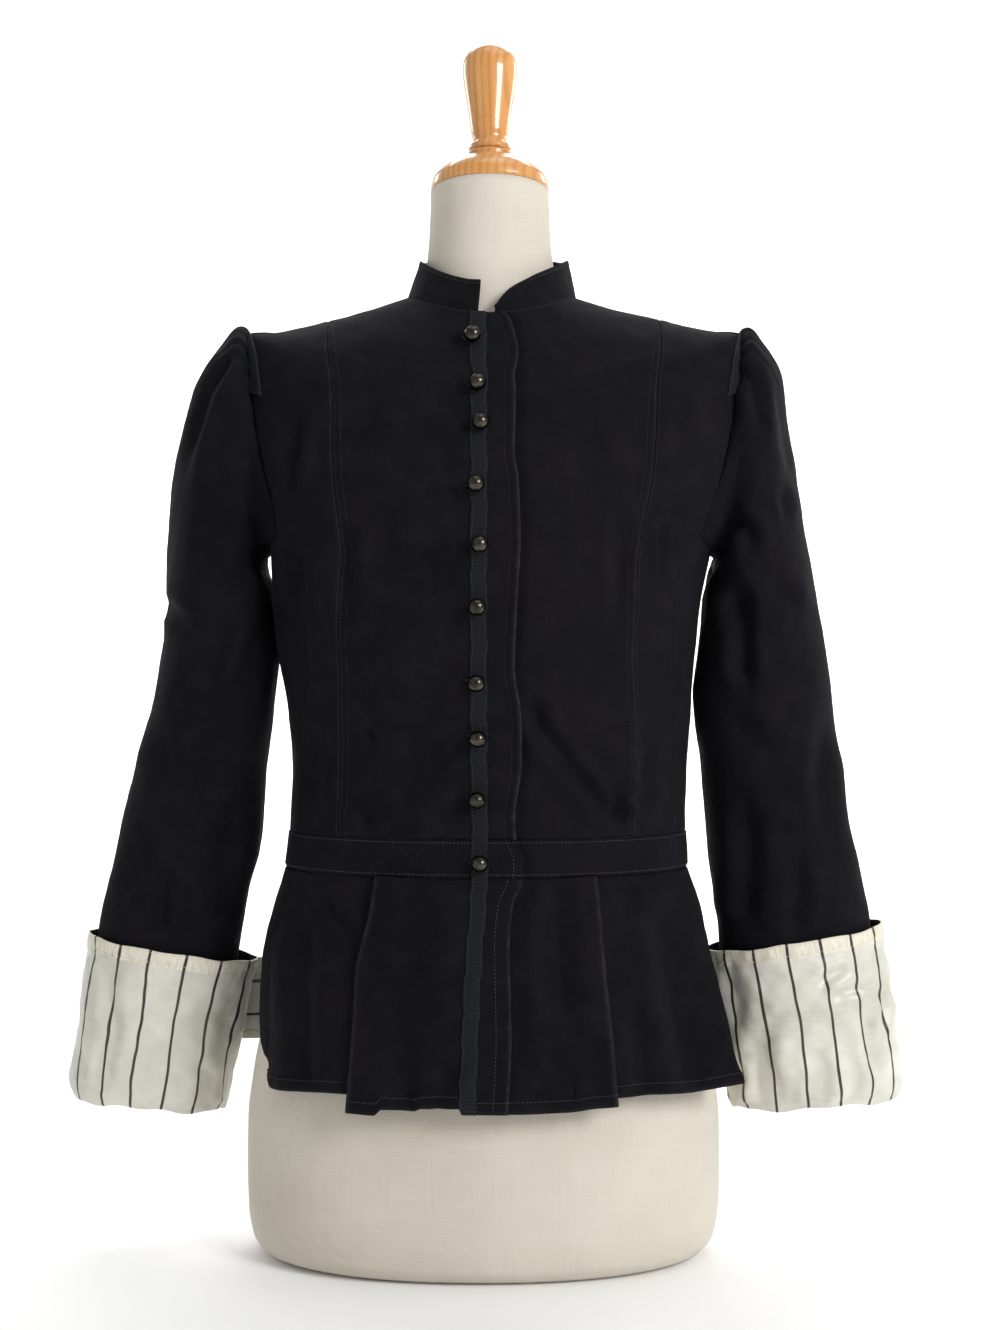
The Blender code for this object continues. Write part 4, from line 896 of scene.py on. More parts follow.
def makeSidePanels():
    low, high = lowLevels[:, None], fanLevel(lowLevels)[:, None]
    near = princessAngle(high)
    near = near + halfGap(near, high)
    far = armholeAngle(low)
    far = far - halfGap(far, low)
    steps = edgeSteps(26, 0.030)[None, :]
    theta = np.minimum(near + (far - near) * steps, ridgeAngle(low))
    level = high + (low - high) * steps
    corner = list(bodyLevels).index(body["armholeCorner"])
    for side, word in bothSides:
        flipped = level if side > 0 else level[:, ::-1]
        layCloth(f"side_front_{word}", signedSide(theta, side), flipped)
        layCloth(f"side_back_{word}", np.pi - signedSide(theta, side), flipped)
        across = edgeSteps(24, 0.030)[None, :]
        base = between(bodyLevels[:corner + 1], body["rowsBetween"])[:, None]
        start = armholeAngle(base)
        start = start + halfGap(start, base)
        angle = start + (np.pi - 2 * start) * across
        height = (base - bodyLevels[0]) / (bodyLevels[corner] - bodyLevels[0])
        top = body["armholeCorner"] - (body["armholeCorner"] - body["underarm"]) * np.sin(np.pi * across)
        up = bodyLevels[0] + (top - bodyLevels[0]) * height
        layCloth(f"side_{word}", angle * side, up)


def makeBack():
    level = frontLevels[:, None]
    seam = princessAngle(level)
    seam = seam - halfGap(seam, level)
    theta = np.pi - seam * (1 - 2 * edgeSteps(96, 0.006)[None, :])
    layCloth("back", theta, level)


band = {"low": 0.302, "high": 0.330, "seam": 100.0, "proud": 0.0008, "cloth": 0.0014}


def makeWaistband():
    share = np.concatenate([[0.0, 0.02, 0.05, 0.09], np.linspace(0.14, 0.86, 9), [0.91, 0.95, 0.98, 1.0]])
    level = (band["low"] + 0.00015 + (band["high"] - band["low"] - 0.0003) * share)[:, None]
    seam = math.radians(band["seam"])
    gap = halfGap(seam, level)
    lap = lapEdge(level)
    roll = -0.0011 * (bell(share, 0.035) + bell(1 - share, 0.035))[:, None]
    swell = 0.0005 * np.sin(np.pi * share)[:, None]
    top = angleAtX(bodyTable, lap, level)
    start = angleAtX(bodyTable, ribbonX(level) - body["underlapReach"], level)
    wide, whole = edgeSteps(88, 0.006)[None, :], edgeSteps(120, 0.004)[None, :]
    out = band["proud"] + roll + swell
    theta = -seam + gap + (top + seam - gap) * wide
    layCloth("waistband_right", theta, level, out, (True, False), band["cloth"])
    theta = start + (seam - gap - start) * wide
    x = sectionPoint(bodyTable, theta, level)[..., 0]
    layCloth("waistband_left", theta, level, out + lapRise(x, lap), (False, True), band["cloth"])
    theta = seam + gap + (2 * np.pi - 2 * seam - 2 * gap) * whole
    layCloth("waistband_back", theta, level, out, thickness=band["cloth"])


collar = {"neckline": 0.745, "lift": -0.0018, "topHalf": 0.0560, "topFront": 0.0640, "topBack": 0.0570,
          "topOver": 0.0050, "columns": 220, "rows": 16, "cloth": 0.0016, "tall": 0.036,
          "wearAndHighlightWidth": 0.0016, "calm": 0.8}
collarTable = makeTable(("degrees", "height"), [
    (-9, 26.2), (-40, 26.8), (-60, 28.5), (-90, 32.5), (-180, 38.5), (-270, 32.5), (-302, 29.2),
    (-325, 27.5), (-340, 23.8), (-348, 20), (-353, 15), (-358, 7),
])


def makeCollar():
    # a short stand that leans in, with a turned tip on the right front and a curve on the left
    degrees = np.linspace(9.0, 358.0, collar["columns"])
    theta = -np.radians(degrees)
    middle = np.linspace(0.12, 0.92, collar["rows"])
    share = np.concatenate([[0.0, 0.03, 0.07], middle, [0.965, 1.0]])[:, None]
    base = sectionPoint(bodyTable, theta, np.full_like(theta, collar["neckline"]))
    base[:, 2] += collar["lift"]
    height = smoothCurve(collarTable["degrees"], collarTable["height"], -degrees)
    tallest = collarTable["height"].max()
    depth = np.where(np.cos(theta) > 0, collar["topFront"], collar["topBack"])
    topX = collar["topOver"] + collar["topHalf"] * np.sin(theta)
    topY = -depth * np.cos(theta)
    lean = share * height / tallest
    points = np.stack([base[:, 0] + (topX - base[:, 0]) * lean, base[:, 1] + (topY - base[:, 1]) * lean,
                       base[:, 2] + share * height], axis=-1)
    outward = gridNormals(points, False)
    middle = points.mean(axis=(0, 1))
    if (outward * (points - middle)).sum() < 0:
        outward = -outward
    fromEnd = np.linalg.norm(points - points[:, :1], axis=-1)
    up, down = share * collar["tall"], (1 - share) * collar["tall"]
    rise = collar["calm"] * bothWaves(points)
    rise += 0.0016 * smoothStep(1 - fromEnd / 0.011) * smoothStep((share - 0.55) / 0.45)
    rise -= 0.0009 * bell(up, 0.0014)
    rise += 0.0004 * bell(down - 0.0025, 0.002)
    points = points + outward * rise[..., None]
    # painted lighter at its top edge and a little at the neck seam: partly the dye rubbing pale, partly
    # painted highlight on the edges
    wear = np.maximum(bell(down, collar["wearAndHighlightWidth"]), 0.4 * bell(up, collar["wearAndHighlightWidth"]))
    makePiece("collar", points, outward, "twill", collar["cloth"], wear=wear)


# the peplum

peplum = {"hem": 0.1385, "top": 0.3018, "cloth": 0.0010, "rows": 54, "spacing": 0.0024,
          "pleatOuter": 0.0040, "pleatUnder": -0.0016, "depthWaist": 0.012, "depthHem": 0.028,
          "relax": 0.030, "foldHem": 0.0920, "foldWaist": 0.0785, "lap": 0.0018, "lapAngle": 3.0,
          "frontEdge": 66.0, "backEdge": 57.0, "backSides": (82.0, 97.0, 111.0), "backMiddle": 166.0,
          "flareLeft": 0.026, "flareRight": -0.010, "flarePower": 0.9, "hemWidth": 0.0095, "drop": 0.163,
          "calm": 1.2, "hemFade": 0.22}
# how far the hem hangs above its level, by X in mm: of the front's middle and beyond its pleats
hemWander = inMetres([
    (-104, -5), (-80, -5.4), (-76, -1), (-52, -1.2), (-48, 0.8), (-20, 1.2), (-18, -3.2), (14, -3.4),
    (60, -2.6), (100, 0),
])
hemBeyond = inMetres([
    (-190, 0.4), (-165, 2), (-140, 5.6), (-120, 7.6), (-100, 8), (94, 5.2), (120, 5), (145, 3), (165, 3.6),
    (185, 1),
])


def peplumShares():
    steps = [0.0, 0.006, 0.018, 0.036, 0.050, 0.058, 0.066, 0.076]
    return np.concatenate([steps, np.linspace(0.095, 0.96, peplum["rows"]), [0.975, 0.988, 1.0]])


def pleatColumns(level, share):
    # across a knife pleat, from the middle outwards: angle, rise and whether it is past the fold
    foldX = peplum["foldHem"] + (peplum["foldWaist"] - peplum["foldHem"]) * share
    fold = angleAtX(peplumTable, foldX, level)
    depth = peplum["depthHem"] + (peplum["depthWaist"] - peplum["depthHem"]) * share
    turn, small, relax = peplum["pleatOuter"] / 2, -peplum["pleatUnder"] / 2, peplum["relax"]
    zero = np.zeros_like(level)
    steps = [(zero - relax, 0.0), (zero - relax * 0.75, peplum["pleatOuter"] * 0.45),
             (zero - relax * 0.45, peplum["pleatOuter"] * 0.85), (zero, peplum["pleatOuter"])]
    for degrees in (45, 0, -45):
        a = math.radians(degrees)
        steps.append((zero + turn * math.cos(a), turn + turn * math.sin(a)))
    steps += [(zero, 0.0), (-depth, 0.0), (-depth - small, -small), (-depth, peplum["pleatUnder"])]
    steps += [(zero, peplum["pleatUnder"]), (zero + relax * 0.25, peplum["pleatUnder"]),
              (zero + relax * 0.6, peplum["pleatUnder"] * 0.5), (zero + relax, 0.0)]
    return [(fold + turnFor(peplumTable, fold, level, distance), rise + zero, zero + (place > 6))
            for place, (distance, rise) in enumerate(steps)]


def fineColumns(columns, level):
    # more columns between the named ones, none further apart than the cloth's spacing
    parts = []
    for column, after in zip(columns[:-1], columns[1:]):
        theta, nextTheta = column[0], after[0]
        span = sectionPoint(peplumTable, nextTheta, level) - sectionPoint(peplumTable, theta, level)
        count = max(1, int(np.ceil(np.linalg.norm(span, axis=-1).max() / peplum["spacing"])))
        parts += [[a + (b - a) * step / count for a, b in zip(column, after)] for step in range(count)]
    parts.append(columns[-1])
    return [np.concatenate(values, axis=1) for values in zip(*parts)]


def hemShape(share):
    # the hem is turned up twice, so its lowest centimetre is thicker, with a groove at its stitches
    height = share * (peplum["top"] - peplum["hem"])
    thick = 0.0006 * smoothStep(1 - (height - peplum["hemWidth"]) / 0.0015)
    groove = -0.0004 * bell(height - peplum["hemWidth"] + 0.001, 0.0007)
    edge = -0.0004 * bell(height, 0.0007)
    seam = -0.0009 * bell((1 - share) * peplum["drop"], 0.0011)
    return thick + groove + edge + seam


def hemDrop(base, beyond=0.0):
    middle, side = (np.interp(base[..., 0], *table.T) for table in (hemWander, hemBeyond))
    return middle + (side - middle) * beyond


def layPeplum(name, columns, share, level, front=True):
    theta, out, beyond = fineColumns(columns, level)
    shared = np.broadcast_to(share, theta.shape)
    base, normals, rise = onTable(peplumTable, theta, level, peplumFolds, peplum["calm"])
    wander = hemDrop(base, beyond) if front else 0.0012 * np.sin(base[..., 0] * 47) + 0.004 * beyond
    pucker = 0.0003 * np.sin(base[..., 0] * 520 + 2 * np.sin(base[..., 1] * 90 + base[..., 0] * 61))
    rise = out + rise + hemShape(shared) + pucker * bell(shared * peplum["drop"] - 0.006, 0.006)
    points = base + normals * rise[..., None]
    points[..., 2] += wander * np.exp(-shared / peplum["hemFade"])
    # painted lighter at the hem: partly the dye rubbing pale, partly painted highlight on the turned edge
    hemWearAndHighlight = bell(shared * peplum["drop"], 0.0016)
    left, lap = edgeDistances(base)
    outer = np.where(beyond < 0.5, out, -1.0).argmax(axis=1)[:, None]
    fromFold = left - np.take_along_axis(left, outer, axis=1)
    # painted highlight along each pleat's outer fold and along the lap's edge, where they catch light
    foldHighlight = 0.7 * bell(fromFold, 0.0016) if front else 0.0
    if name.endswith("_right"):
        foldHighlight = np.maximum(foldHighlight, bell(lap, 0.0014))
    makePiece(name, points, normals, "twill", peplum["cloth"], wear=np.maximum(0.5 * hemWearAndHighlight, foldHighlight))


def makePeplum():
    share = peplumShares()[:, None]
    level = peplum["hem"] + (peplum["top"] - peplum["hem"]) * share
    edge = lapEdge(level)
    ribbon = ribbonX(level)
    zero = np.zeros_like(level)
    pleat = pleatColumns(level, share)
    end, flaring = math.radians(peplum["frontEdge"]), (1 - share) ** peplum["flarePower"]
    for side, word in bothSides:
        if side > 0:
            xs = ((ribbon - 0.006, 0), (edge - 0.008, 0), (edge + 0.002, 0), (edge + 0.008, 1),
                  (edge + 0.014, 2))
            columns = [(angleAtX(peplumTable, x, level), zero - body["lapStep"] * (1 - step / 2), zero)
                       for x, step in xs]
        else:
            xs = (edge, edge - 0.0008, edge - 0.010, zero, zero - 0.022)
            columns = [(-angleAtX(peplumTable, x, level), zero, zero) for x in xs]
        last = columns[-1]
        columns.append((last[0] + (pleat[0][0] - last[0]) * 0.55, zero, zero))
        columns += pleat
        flare = (peplum["flareLeft"] if side > 0 else peplum["flareRight"]) * flaring
        final = pleat[-1][0]
        columns += [(final + (end - final) * t, flare * t * t, zero + 1) for t in (0.25, 0.5, 0.75, 1.0)]
        if side < 0:
            columns = [(-theta, out, past) for theta, out, past in columns[::-1]]
        layPeplum(f"peplum_front_{word}", columns, share, level)
    lap = math.radians(peplum["frontEdge"] + peplum["lapAngle"])
    edges = (math.radians(peplum["backEdge"]), lap)
    half = [(zero + angle, zero - peplum["lap"], zero + 1) for angle in edges]
    half += [(zero + math.radians(angle), zero, zero + 1) for angle in peplum["backSides"]]
    half += [(np.pi - theta, out, past) for theta, out, past in pleat[::-1]]
    half.append((zero + math.radians(peplum["backMiddle"]), zero, zero))
    # the right side hangs closer than the left one
    narrow = [peplum["flareRight"] * flaring * part for part in (0.33, 1.0, 1.0, 0.8, 0.4)]
    narrow += [0.0] * (len(half) - len(narrow))
    other = [(2 * np.pi - theta, out + less, past) for (theta, out, past), less in zip(half, narrow)]
    columns = half + [(zero + np.pi, zero, zero)] + other[::-1]
    layPeplum("peplum_back", columns, share, level, False)


# Sleeves and cuffs, in mm: the heights of each section's inner and outer end, their distances to the side
# of the middle, its middle along Y and half its depth

sleeveSections = {
    "right": inMetres([
        (541, 719, 174.5, 196.5, 0, 70), (531, 690, 175.5, 220.5, 0, 71), (524, 643, 172.4, 238.6, 0, 68),
        (510, 600, 169.7, 247, 0, 66), (493, 548.6, 167.5, 251.2, 0, 64.5), (470, 500, 164.8, 252.5, 0, 62),
        (438, 450, 167.7, 259, 0, 57), (406.8, 411.8, 170.7, 268.3, 6, 50),
        (374.2, 375, 176.5, 279.9, 14, 44), (342.3, 342.3, 179.7, 290.1, 22, 40),
        (309.2, 309.2, 184.7, 298.9, 29, 36.5), (276.9, 276.9, 193.6, 307.2, 35, 35),
        (243.6, 243.6, 198.3, 314.7, 39, 34), (203.1, 205.1, 204.3, 322, 42, 33.5),
        (151.4, 156.6, 210.1, 328.9, 43, 33), (102, 112.5, 214.8, 334.1, 43, 33),
    ]),
    "left": inMetres([
        (541, 719, 178.5, 205, 0, 70), (531, 690, 178.5, 227, 0, 70), (524, 643, 172.6, 236, 0, 65),
        (510, 600, 169.7, 243, 0, 60), (493, 548.6, 167.5, 251.2, 0, 56), (470, 500, 164.6, 260, 0, 54),
        (438, 450, 161.2, 267.8, 0, 52), (406.8, 411.8, 165, 273.6, 6, 50), (374.2, 375, 169, 281, 14, 47),
        (342.3, 342.3, 173.4, 286.2, 22, 44), (309.2, 309.2, 175.1, 293.9, 29, 41),
        (276.9, 276.9, 181.4, 302.2, 35, 38), (243.6, 243.6, 185.5, 309.1, 39, 36),
        (203.1, 205.1, 189.4, 316.4, 42, 35), (151.4, 156.6, 193.1, 324.8, 43, 34),
        (104, 112.5, 198.8, 331.5, 43, 34),
    ]),
}
cuffSections = {
    "right": inMetres([
        (125.7, 130.9, 207, 337, 43, 37.5), (172, 182.3, 198.3, 332, 43, 40.5),
        (219.9, 242.5, 186.9, 322.5, 45, 44),
    ]),
    "left": inMetres([
        (125.7, 130.9, 193.1, 334.5, 43, 38.5), (172, 182.3, 185.4, 329, 43, 42),
        (228.1, 250.1, 176.1, 318, 45, 45),
    ]),
}
sleeve = {"columns": 144, "headRows": 12, "rows": 7, "cloth": 0.0013, "puff": 0.0024, "headRadius": 0.075,
          "calm": 1.25, "gatherRidge": 0.55}
# gathers of each sleeve head: degrees from its top towards the front, then depth, width and length in mm
headGathers = {
    "right": (
        (-66, 1.2, 3, 18), (-52, 1.8, 2.6, 26), (-40, 1.4, 2.2, 20), (-27, 2.2, 2.8, 30),
        (-15, 1.4, 2.2, 18), (-3, 2, 3, 26), (9, 2.4, 2.6, 34), (20, 1.6, 2.2, 22), (33, 2.4, 2.8, 38),
        (45, 1.8, 2.4, 22), (58, 1.4, 2.8, 30), (72, 1, 3, 16),
    ),
    "left": (
        (-70, 1.2, 3, 20), (-55, 1.6, 2.6, 22), (-43, 1.8, 2.4, 28), (-29, 1.8, 2.4, 20),
        (-18, 2.4, 2.8, 30), (-6, 1.4, 2.2, 18), (6, 2.2, 2.8, 28), (18, 2.6, 2.6, 32), (30, 2.2, 2.4, 24),
        (41, 3, 3, 40), (55, 1.8, 2.6, 24), (70, 1.2, 2.8, 18),
    ),
}


def armholeLoop(side):
    # the armhole's seam from the shoulder tip down the front, round the underarm and up the back
    corner = list(bodyLevels).index(body["armholeCorner"])
    level = between(bodyLevels[corner:][::-1], 10)
    theta = armholeAngle(level)
    theta = np.minimum(theta + halfGap(theta, level), np.pi / 2)
    theta[0] = np.pi / 2
    across = np.linspace(0, 1, 42)[1:-1]
    start = armholeAngle(np.array(body["armholeCorner"]))
    underTheta = start + (np.pi - 2 * start) * across
    drop = body["armholeCorner"] - body["underarm"]
    underLevel = body["armholeCorner"] - drop * np.sin(np.pi * across) + body["seamGap"]
    theta = np.concatenate([theta, underTheta, (np.pi - theta[1:])[::-1]]) * side
    level = np.concatenate([level, underLevel, level[1:][::-1]])
    base, normals, rise = onTable(bodyTable, theta, level, bodyFolds)
    points = base + normals * (rise - body["seamDip"])[:, None]
    half = len(bodyLevels[corner:]) * 10 - 10 + 1 + 20
    return points, half


def evenLoop(points, half, count):
    # the loop at even angles: 0 at the shoulder, 180 degrees at the underarm, front first
    lengths = np.linalg.norm(np.roll(points, -1, axis=0) - points, axis=1)
    runs = np.concatenate([[0.0], np.cumsum(lengths)])
    first = runs[half]
    angles = np.where(np.arange(len(runs)) <= half, np.pi * runs / first,
                      np.pi * (1 + (runs - first) / (runs[-1] - first)))
    closed = np.concatenate([points, points[:1]])
    wanted = circle(count)
    return np.stack([np.interp(wanted, angles, closed[:, k]) for k in range(3)], axis=-1), wanted


def tubeRing(section, side, angles, grow=0.0, lower=0.0):
    innerZ, outerZ, inner, outer, middleY, halfDepth = section
    centre = np.array([side * (inner + outer) / 2, middleY, (innerZ + outerZ) / 2 - lower])
    reach = np.array([side * (outer - inner) / 2, 0.0, (outerZ - innerZ) / 2])
    reach = reach * (1 + grow / np.linalg.norm(reach))
    front = np.array([0.0, -(halfDepth + grow), 0.0])
    return centre + reach * np.cos(angles)[:, None] + front * np.sin(angles)[:, None]


def throughRings(rings, counts):
    # a smooth skin through the rings, by a cubic between each two
    rows = [rings[0]]
    for i in range(len(rings) - 1):
        before, start, end = rings[max(0, i - 1)], rings[i], rings[i + 1]
        after = rings[min(len(rings) - 1, i + 2)]
        for step in range(1, counts[i] + 1):
            t = step / counts[i]
            square, cube = 2 * before - 5 * start + 4 * end - after, 3 * start - before - 3 * end + after
            rows.append(0.5 * (2 * start + (end - before) * t + square * t**2 + cube * t**3))
    return np.stack(rows)


def tubeOutward(points):
    normals = gridNormals(points, True)
    centre = points.mean(axis=1, keepdims=True)
    return normals if (normals * (points - centre)).sum() > 0 else -normals


def makeSleeve(side, word):
    loop, half = armholeLoop(side)
    first, angles = evenLoop(loop, half, sleeve["columns"])
    rings = [first] + [tubeRing(section, side, angles) for section in sleeveSections[word]]
    counts = [sleeve["headRows"]] * 2 + [9, 8] + [sleeve["rows"]] * (len(rings) - 5)
    points = throughRings(rings, counts)
    outward = tubeOutward(points)
    run = runOf(points, 0)
    centred = np.where(angles > np.pi, angles - 2 * np.pi, angles)
    rise = sleeve["calm"] * bothWaves(points) * smoothStep(run / 0.012)
    rise += foldOffset(points, outward, sleeveFolds[word]) * smoothStep(run / 0.006)
    for degrees, *sizes in headGathers[word]:
        depth, width, length = inMetres(sizes)
        away = (centred - math.radians(degrees)) * sleeve["headRadius"] * (1 + 2.5 * run)
        shape = -bell(away, width) + sleeve["gatherRidge"] * bell(np.abs(away) - foldPeak * width, width)
        rise += depth * shape * bell(run, length) * smoothStep(run / 0.0018)
    top = np.maximum(0, np.cos(centred)) ** 1.2
    rise += sleeve["puff"] * top * bell(run - 0.011, 0.010)
    rise -= 0.0005 * bell(run, 0.0012)
    under = np.abs(np.abs(centred) - np.pi) * 0.05
    rise -= 0.0006 * bell(under, 0.0012)
    points = points + outward * rise[..., None]
    # painted lighter along the armhole seam: partly the dye rubbing pale, partly painted highlight on the
    # seam's edge
    makePiece(f"sleeve_{word}", points, outward, "twill", sleeve["cloth"], True,
              wear=body["wear"] * bell(run, 0.0015))
    return angles


cuff = {"inside": 0.014, "gap": 0.0007, "turn": 0.0012, "cloth": 0.0015, "bandHeight": 0.0118,
        "lining": 0.0014, "skin": 0.0016, "bandSeam": 0.0022, "coarse": 1.8, "fine": 3.4,
        "stripeStart": {"right": -0.0092, "left": 0.0118}}


def makeCuff(side, word, angles):
    # up inside the sleeve's end, round its edge, and up outside as the turned-back layer
    end, before = sleeveSections[word][-1], sleeveSections[word][-2]
    inside = -(cuff["lining"] + cuff["gap"] + cuff["skin"])
    outside = cuff["gap"] + cuff["skin"]
    share = cuff["inside"] / (before[0] - end[0])
    higher = end + (before - end) * share
    turned = [
        tubeRing(higher, side, angles, inside), tubeRing(end, side, angles, inside),
        tubeRing(end, side, angles, inside + cuff["turn"], outside * 0.8),
        tubeRing(end, side, angles, (inside + outside) / 2, outside),
        tubeRing(end, side, angles, outside - cuff["turn"], outside * 0.8),
        tubeRing(end, side, angles, outside),
    ]
    rows = []
    for low, high, count in zip(turned[:-1], turned[1:], (6, 2, 2, 2, 2)):
        rows += [low + (high - low) * step / count for step in range(count)]
    outer = [turned[-1]] + [tubeRing(section, side, angles) for section in cuffSections[word]]
    skin = throughRings(outer, (10, 18, 26))
    points = np.concatenate([np.stack(rows), skin])
    firstOuter = len(rows)
    outward = tubeOutward(skin)
    run = runOf(skin, 0)
    fromTop = run[-1] - run
    radius = np.linalg.norm(skin[-1] - skin[-1].mean(axis=0), axis=-1)
    around = angles * radius.mean()
    rise = foldOffset(skin, outward, cuffFolds[word])
    rise += cuff["coarse"] * waves(skin, slowWaves) + cuff["fine"] * waves(skin, fineWaves)
    crinkle = np.sin(around * 900 + 2.2 * np.sin(around * 157) + fromTop * 60)
    wander = np.sin(around * 560 + 1.7 * np.sin(around * 233 + 1.0))
    onBand = bell(fromTop - cuff["bandHeight"] + 0.003, 0.005)
    rise += (0.0004 * crinkle + 0.0004 * wander) * onBand
    rise -= 0.0008 * bell(fromTop - cuff["bandHeight"] + cuff["bandSeam"], 0.0011)
    rise += 0.0006 * smoothStep(1 - (fromTop - cuff["bandHeight"]) / 0.002)
    bulge = np.sin(around * 140 + 1.3 * np.sin(around * 61 + 0.5))
    rise += (0.0007 + 0.0006 * bulge) * bell(run - 0.008, 0.010)
    rise = np.maximum(rise, -0.0005 - 0.06 * np.maximum(0.0, run - 0.014)) * smoothStep(run / 0.006)
    skin = skin + outward * rise[..., None]
    edgeWave = 0.0006 * np.sin(around * 75 + 0.9) + 0.0004 * np.sin(around * 170 + 2.0)
    skin[..., 2] += edgeWave * smoothStep(1 - fromTop / 0.02)
    points[firstOuter:] = skin
    height = points[..., 2] - points[..., 2].min(axis=0)
    sag = 0.0013 * np.sin(around * 92 + 1.1 * np.sin(around * 37)) + 0.0008 * np.sin(around * 185 + 1.0)
    points[..., 2] += sag * bell(height, 0.014)
    skin = points[firstOuter:]
    direction = np.concatenate([np.zeros((firstOuter, len(angles), 3)), outward])
    ring = np.linalg.norm(np.roll(skin[len(skin) // 2], -1, axis=0) - skin[len(skin) // 2], axis=-1)
    u = np.concatenate([[0.0], np.cumsum(ring)]) + cuff["stripeStart"][word]
    total = u[-1] - u[0]
    stretch = round(total / satin["pitch"]) * satin["pitch"] / total
    v = np.concatenate([[0.0], np.cumsum(np.linalg.norm(np.diff(points, axis=0), axis=-1).mean(axis=1))])
    uv = np.stack(np.broadcast_arrays(u[None, :] * stretch, v[:, None]), axis=-1)
    topDistance = np.concatenate([np.full((firstOuter, len(angles)), 1.0), fromTop])
    makePiece(f"cuff_{word}", points, direction, "satin twill", cuff["cloth"], True, uv,
              fromTop=topDistance, wear=0.0)
    grids[f"cuffFace_{word}"] = (skin, True)
    print(f"cuff {word}: {total:.3f} m round")


tab = {"angles": (248.0, 214.0), "reach": 0.030, "low": 0.30, "rows": 44, "cloth": 0.0015}


def makeCuffTab():
    # the right cuff's under layer leaves its back and stands out towards the body, its corner rounded
    rows = []
    low, high = cuffSections["right"][0], cuffSections["right"][2]
    for height in tab["low"] + (1 - tab["low"]) * np.linspace(0, 1, tab["rows"]):
        section = low + (high - low) * height
        angles = np.radians(np.linspace(*tab["angles"], 12))
        row = tubeRing(section, -1, angles, 0.0024, 0.004)
        reach = tab["reach"] * math.sqrt(max(0.15, 1 - max(0.0, (height - 0.72) / 0.30) ** 2))
        share = np.linspace(0, 1, 17)[1:, None]
        bow = 0.0018 * np.sin(share * np.pi) * math.sin(height * 9)
        out = row[-1] + share * np.array([reach, 0.0035, 0.0]) + bow * np.array([0, -1, 0])
        rows.append(np.concatenate([row, out]))
    points = np.stack(rows)
    left, right = edgeDistances(points)
    up = (points[-1:, :, 2] - points[..., 2]) * 0.98
    low = points[..., 2] - points[:1, :, 2]
    fromEdge = np.minimum(np.minimum(right, np.abs(up)), low + 0.0015)
    outward = gridNormals(points, False)
    outward = outward if outward[..., 1].mean() < 0 else -outward
    along = points[..., 2] * 800 + points[..., 0] * 800
    rise = 0.0004 * np.sin(along + 2 * np.sin(along * 0.23)) * bell(fromEdge - 0.008, 0.005)
    rise -= 0.0008 * bell(fromEdge - 0.0095, 0.0011)
    rise += 1.5 * waves(points, slowWaves)
    points = points + outward * rise[..., None]
    u = (points[..., 2] - 0.1706 + satin["pitch"] * 6.5)
    uv = np.stack([u, left], axis=-1)
    makePiece("cuff_tab_right", points, outward, "satin", tab["cloth"], uv=uv, fromTop=fromEdge, wear=0.0)


# what lies on the cloth

ribbon = {"width": 0.0125, "thick": 0.0009, "lift": 0.0003}


def onBody(x, level, out):
    base, normals, rise = onTable(bodyTable, angleAtX(bodyTable, x, level), level, bodyFolds)
    return base + normals * (rise + out)[..., None], normals


def makeFrontRibbon():
    across = np.array([-0.5, -0.44, -0.34, -0.2, 0.0, 0.2, 0.34, 0.44, 0.5])[None, :]
    out = ribbon["lift"] + ribbon["thick"]
    parts = []
    share = np.linspace(0.0, 1.0, 90)[:, None]
    level = peplum["hem"] + (peplum["top"] - peplum["hem"]) * share
    x = ribbonX(level) + across * ribbon["width"]
    theta = angleAtX(peplumTable, x, level)
    base, normals, rise = onTable(peplumTable, theta, level, peplumFolds, peplum["calm"])
    points = base + normals * (out + rise + hemShape(share))[..., None]
    points[..., 2] += hemDrop(base) * np.exp(-share / peplum["hemFade"])
    parts.append((points[:-2], normals[:-2]))
    bandLevel = np.linspace(band["low"] + 0.003, band["high"] - 0.002, 14)[:, None]
    for level, proud in ((bandLevel, band["proud"] + 0.0003), (frontLevels[1:, None], 0.0)):
        x = ribbonX(level) + across * ribbon["width"]
        parts.append(onBody(x, level, out + proud))
    points, normals = (np.concatenate(part) for part in zip(*parts))
    height = points[:, 4, 2]
    ripple = 0.00022 * np.sin(height * 610 + 2 * np.sin(height * 83))[:, None] * (np.abs(across) * 2) ** 2
    edge = -0.0004 * (np.abs(across) * 2) ** 12
    stitched = -0.0003 * bell(np.abs(across) - 0.36, 0.06)
    points = points + normals * (ripple + edge + stitched)[..., None]
    points[:, :, 0] += (0.0004 * np.sin(height * 190) + 0.0003 * np.sin(height * 430))[:, None]
    makePiece("front_ribbon", points, normals, "ribbon", ribbon["thick"],
              wear=0.5 * (np.abs(across) * 2) ** 8)


tape = {"across": (0.77, 0.955), "downTo": 0.672, "lift": 0.0006}


def makeShoulderTape(side, word):
    first = list(bodyLevels).index(tape["downTo"])
    low = between(bodyLevels[first:], 8)[:, None]
    high = fanLevel(low)
    near, far = princessAngle(high), armholeAngle(low)
    across = tape["across"][0] + (tape["across"][1] - tape["across"][0]) * np.linspace(0, 1, 9)[None, :]
    theta = np.minimum(near + (far - near) * across, ridgeAngle(low))
    level = high + (low - high) * across
    level = level if side > 0 else level[:, ::-1]
    base, normals, rise = onTable(bodyTable, signedSide(theta, side), level, bodyFolds)
    edge = 0.0004 * np.linspace(-1, 1, 9) ** 10
    points = base + normals * (tape["lift"] + ribbon["thick"] + rise - edge)[..., None]
    makePiece(f"shoulder_tape_{word}", points, normals, "ribbon", ribbon["thick"], wear=0.0)


# buttons, form and its wood

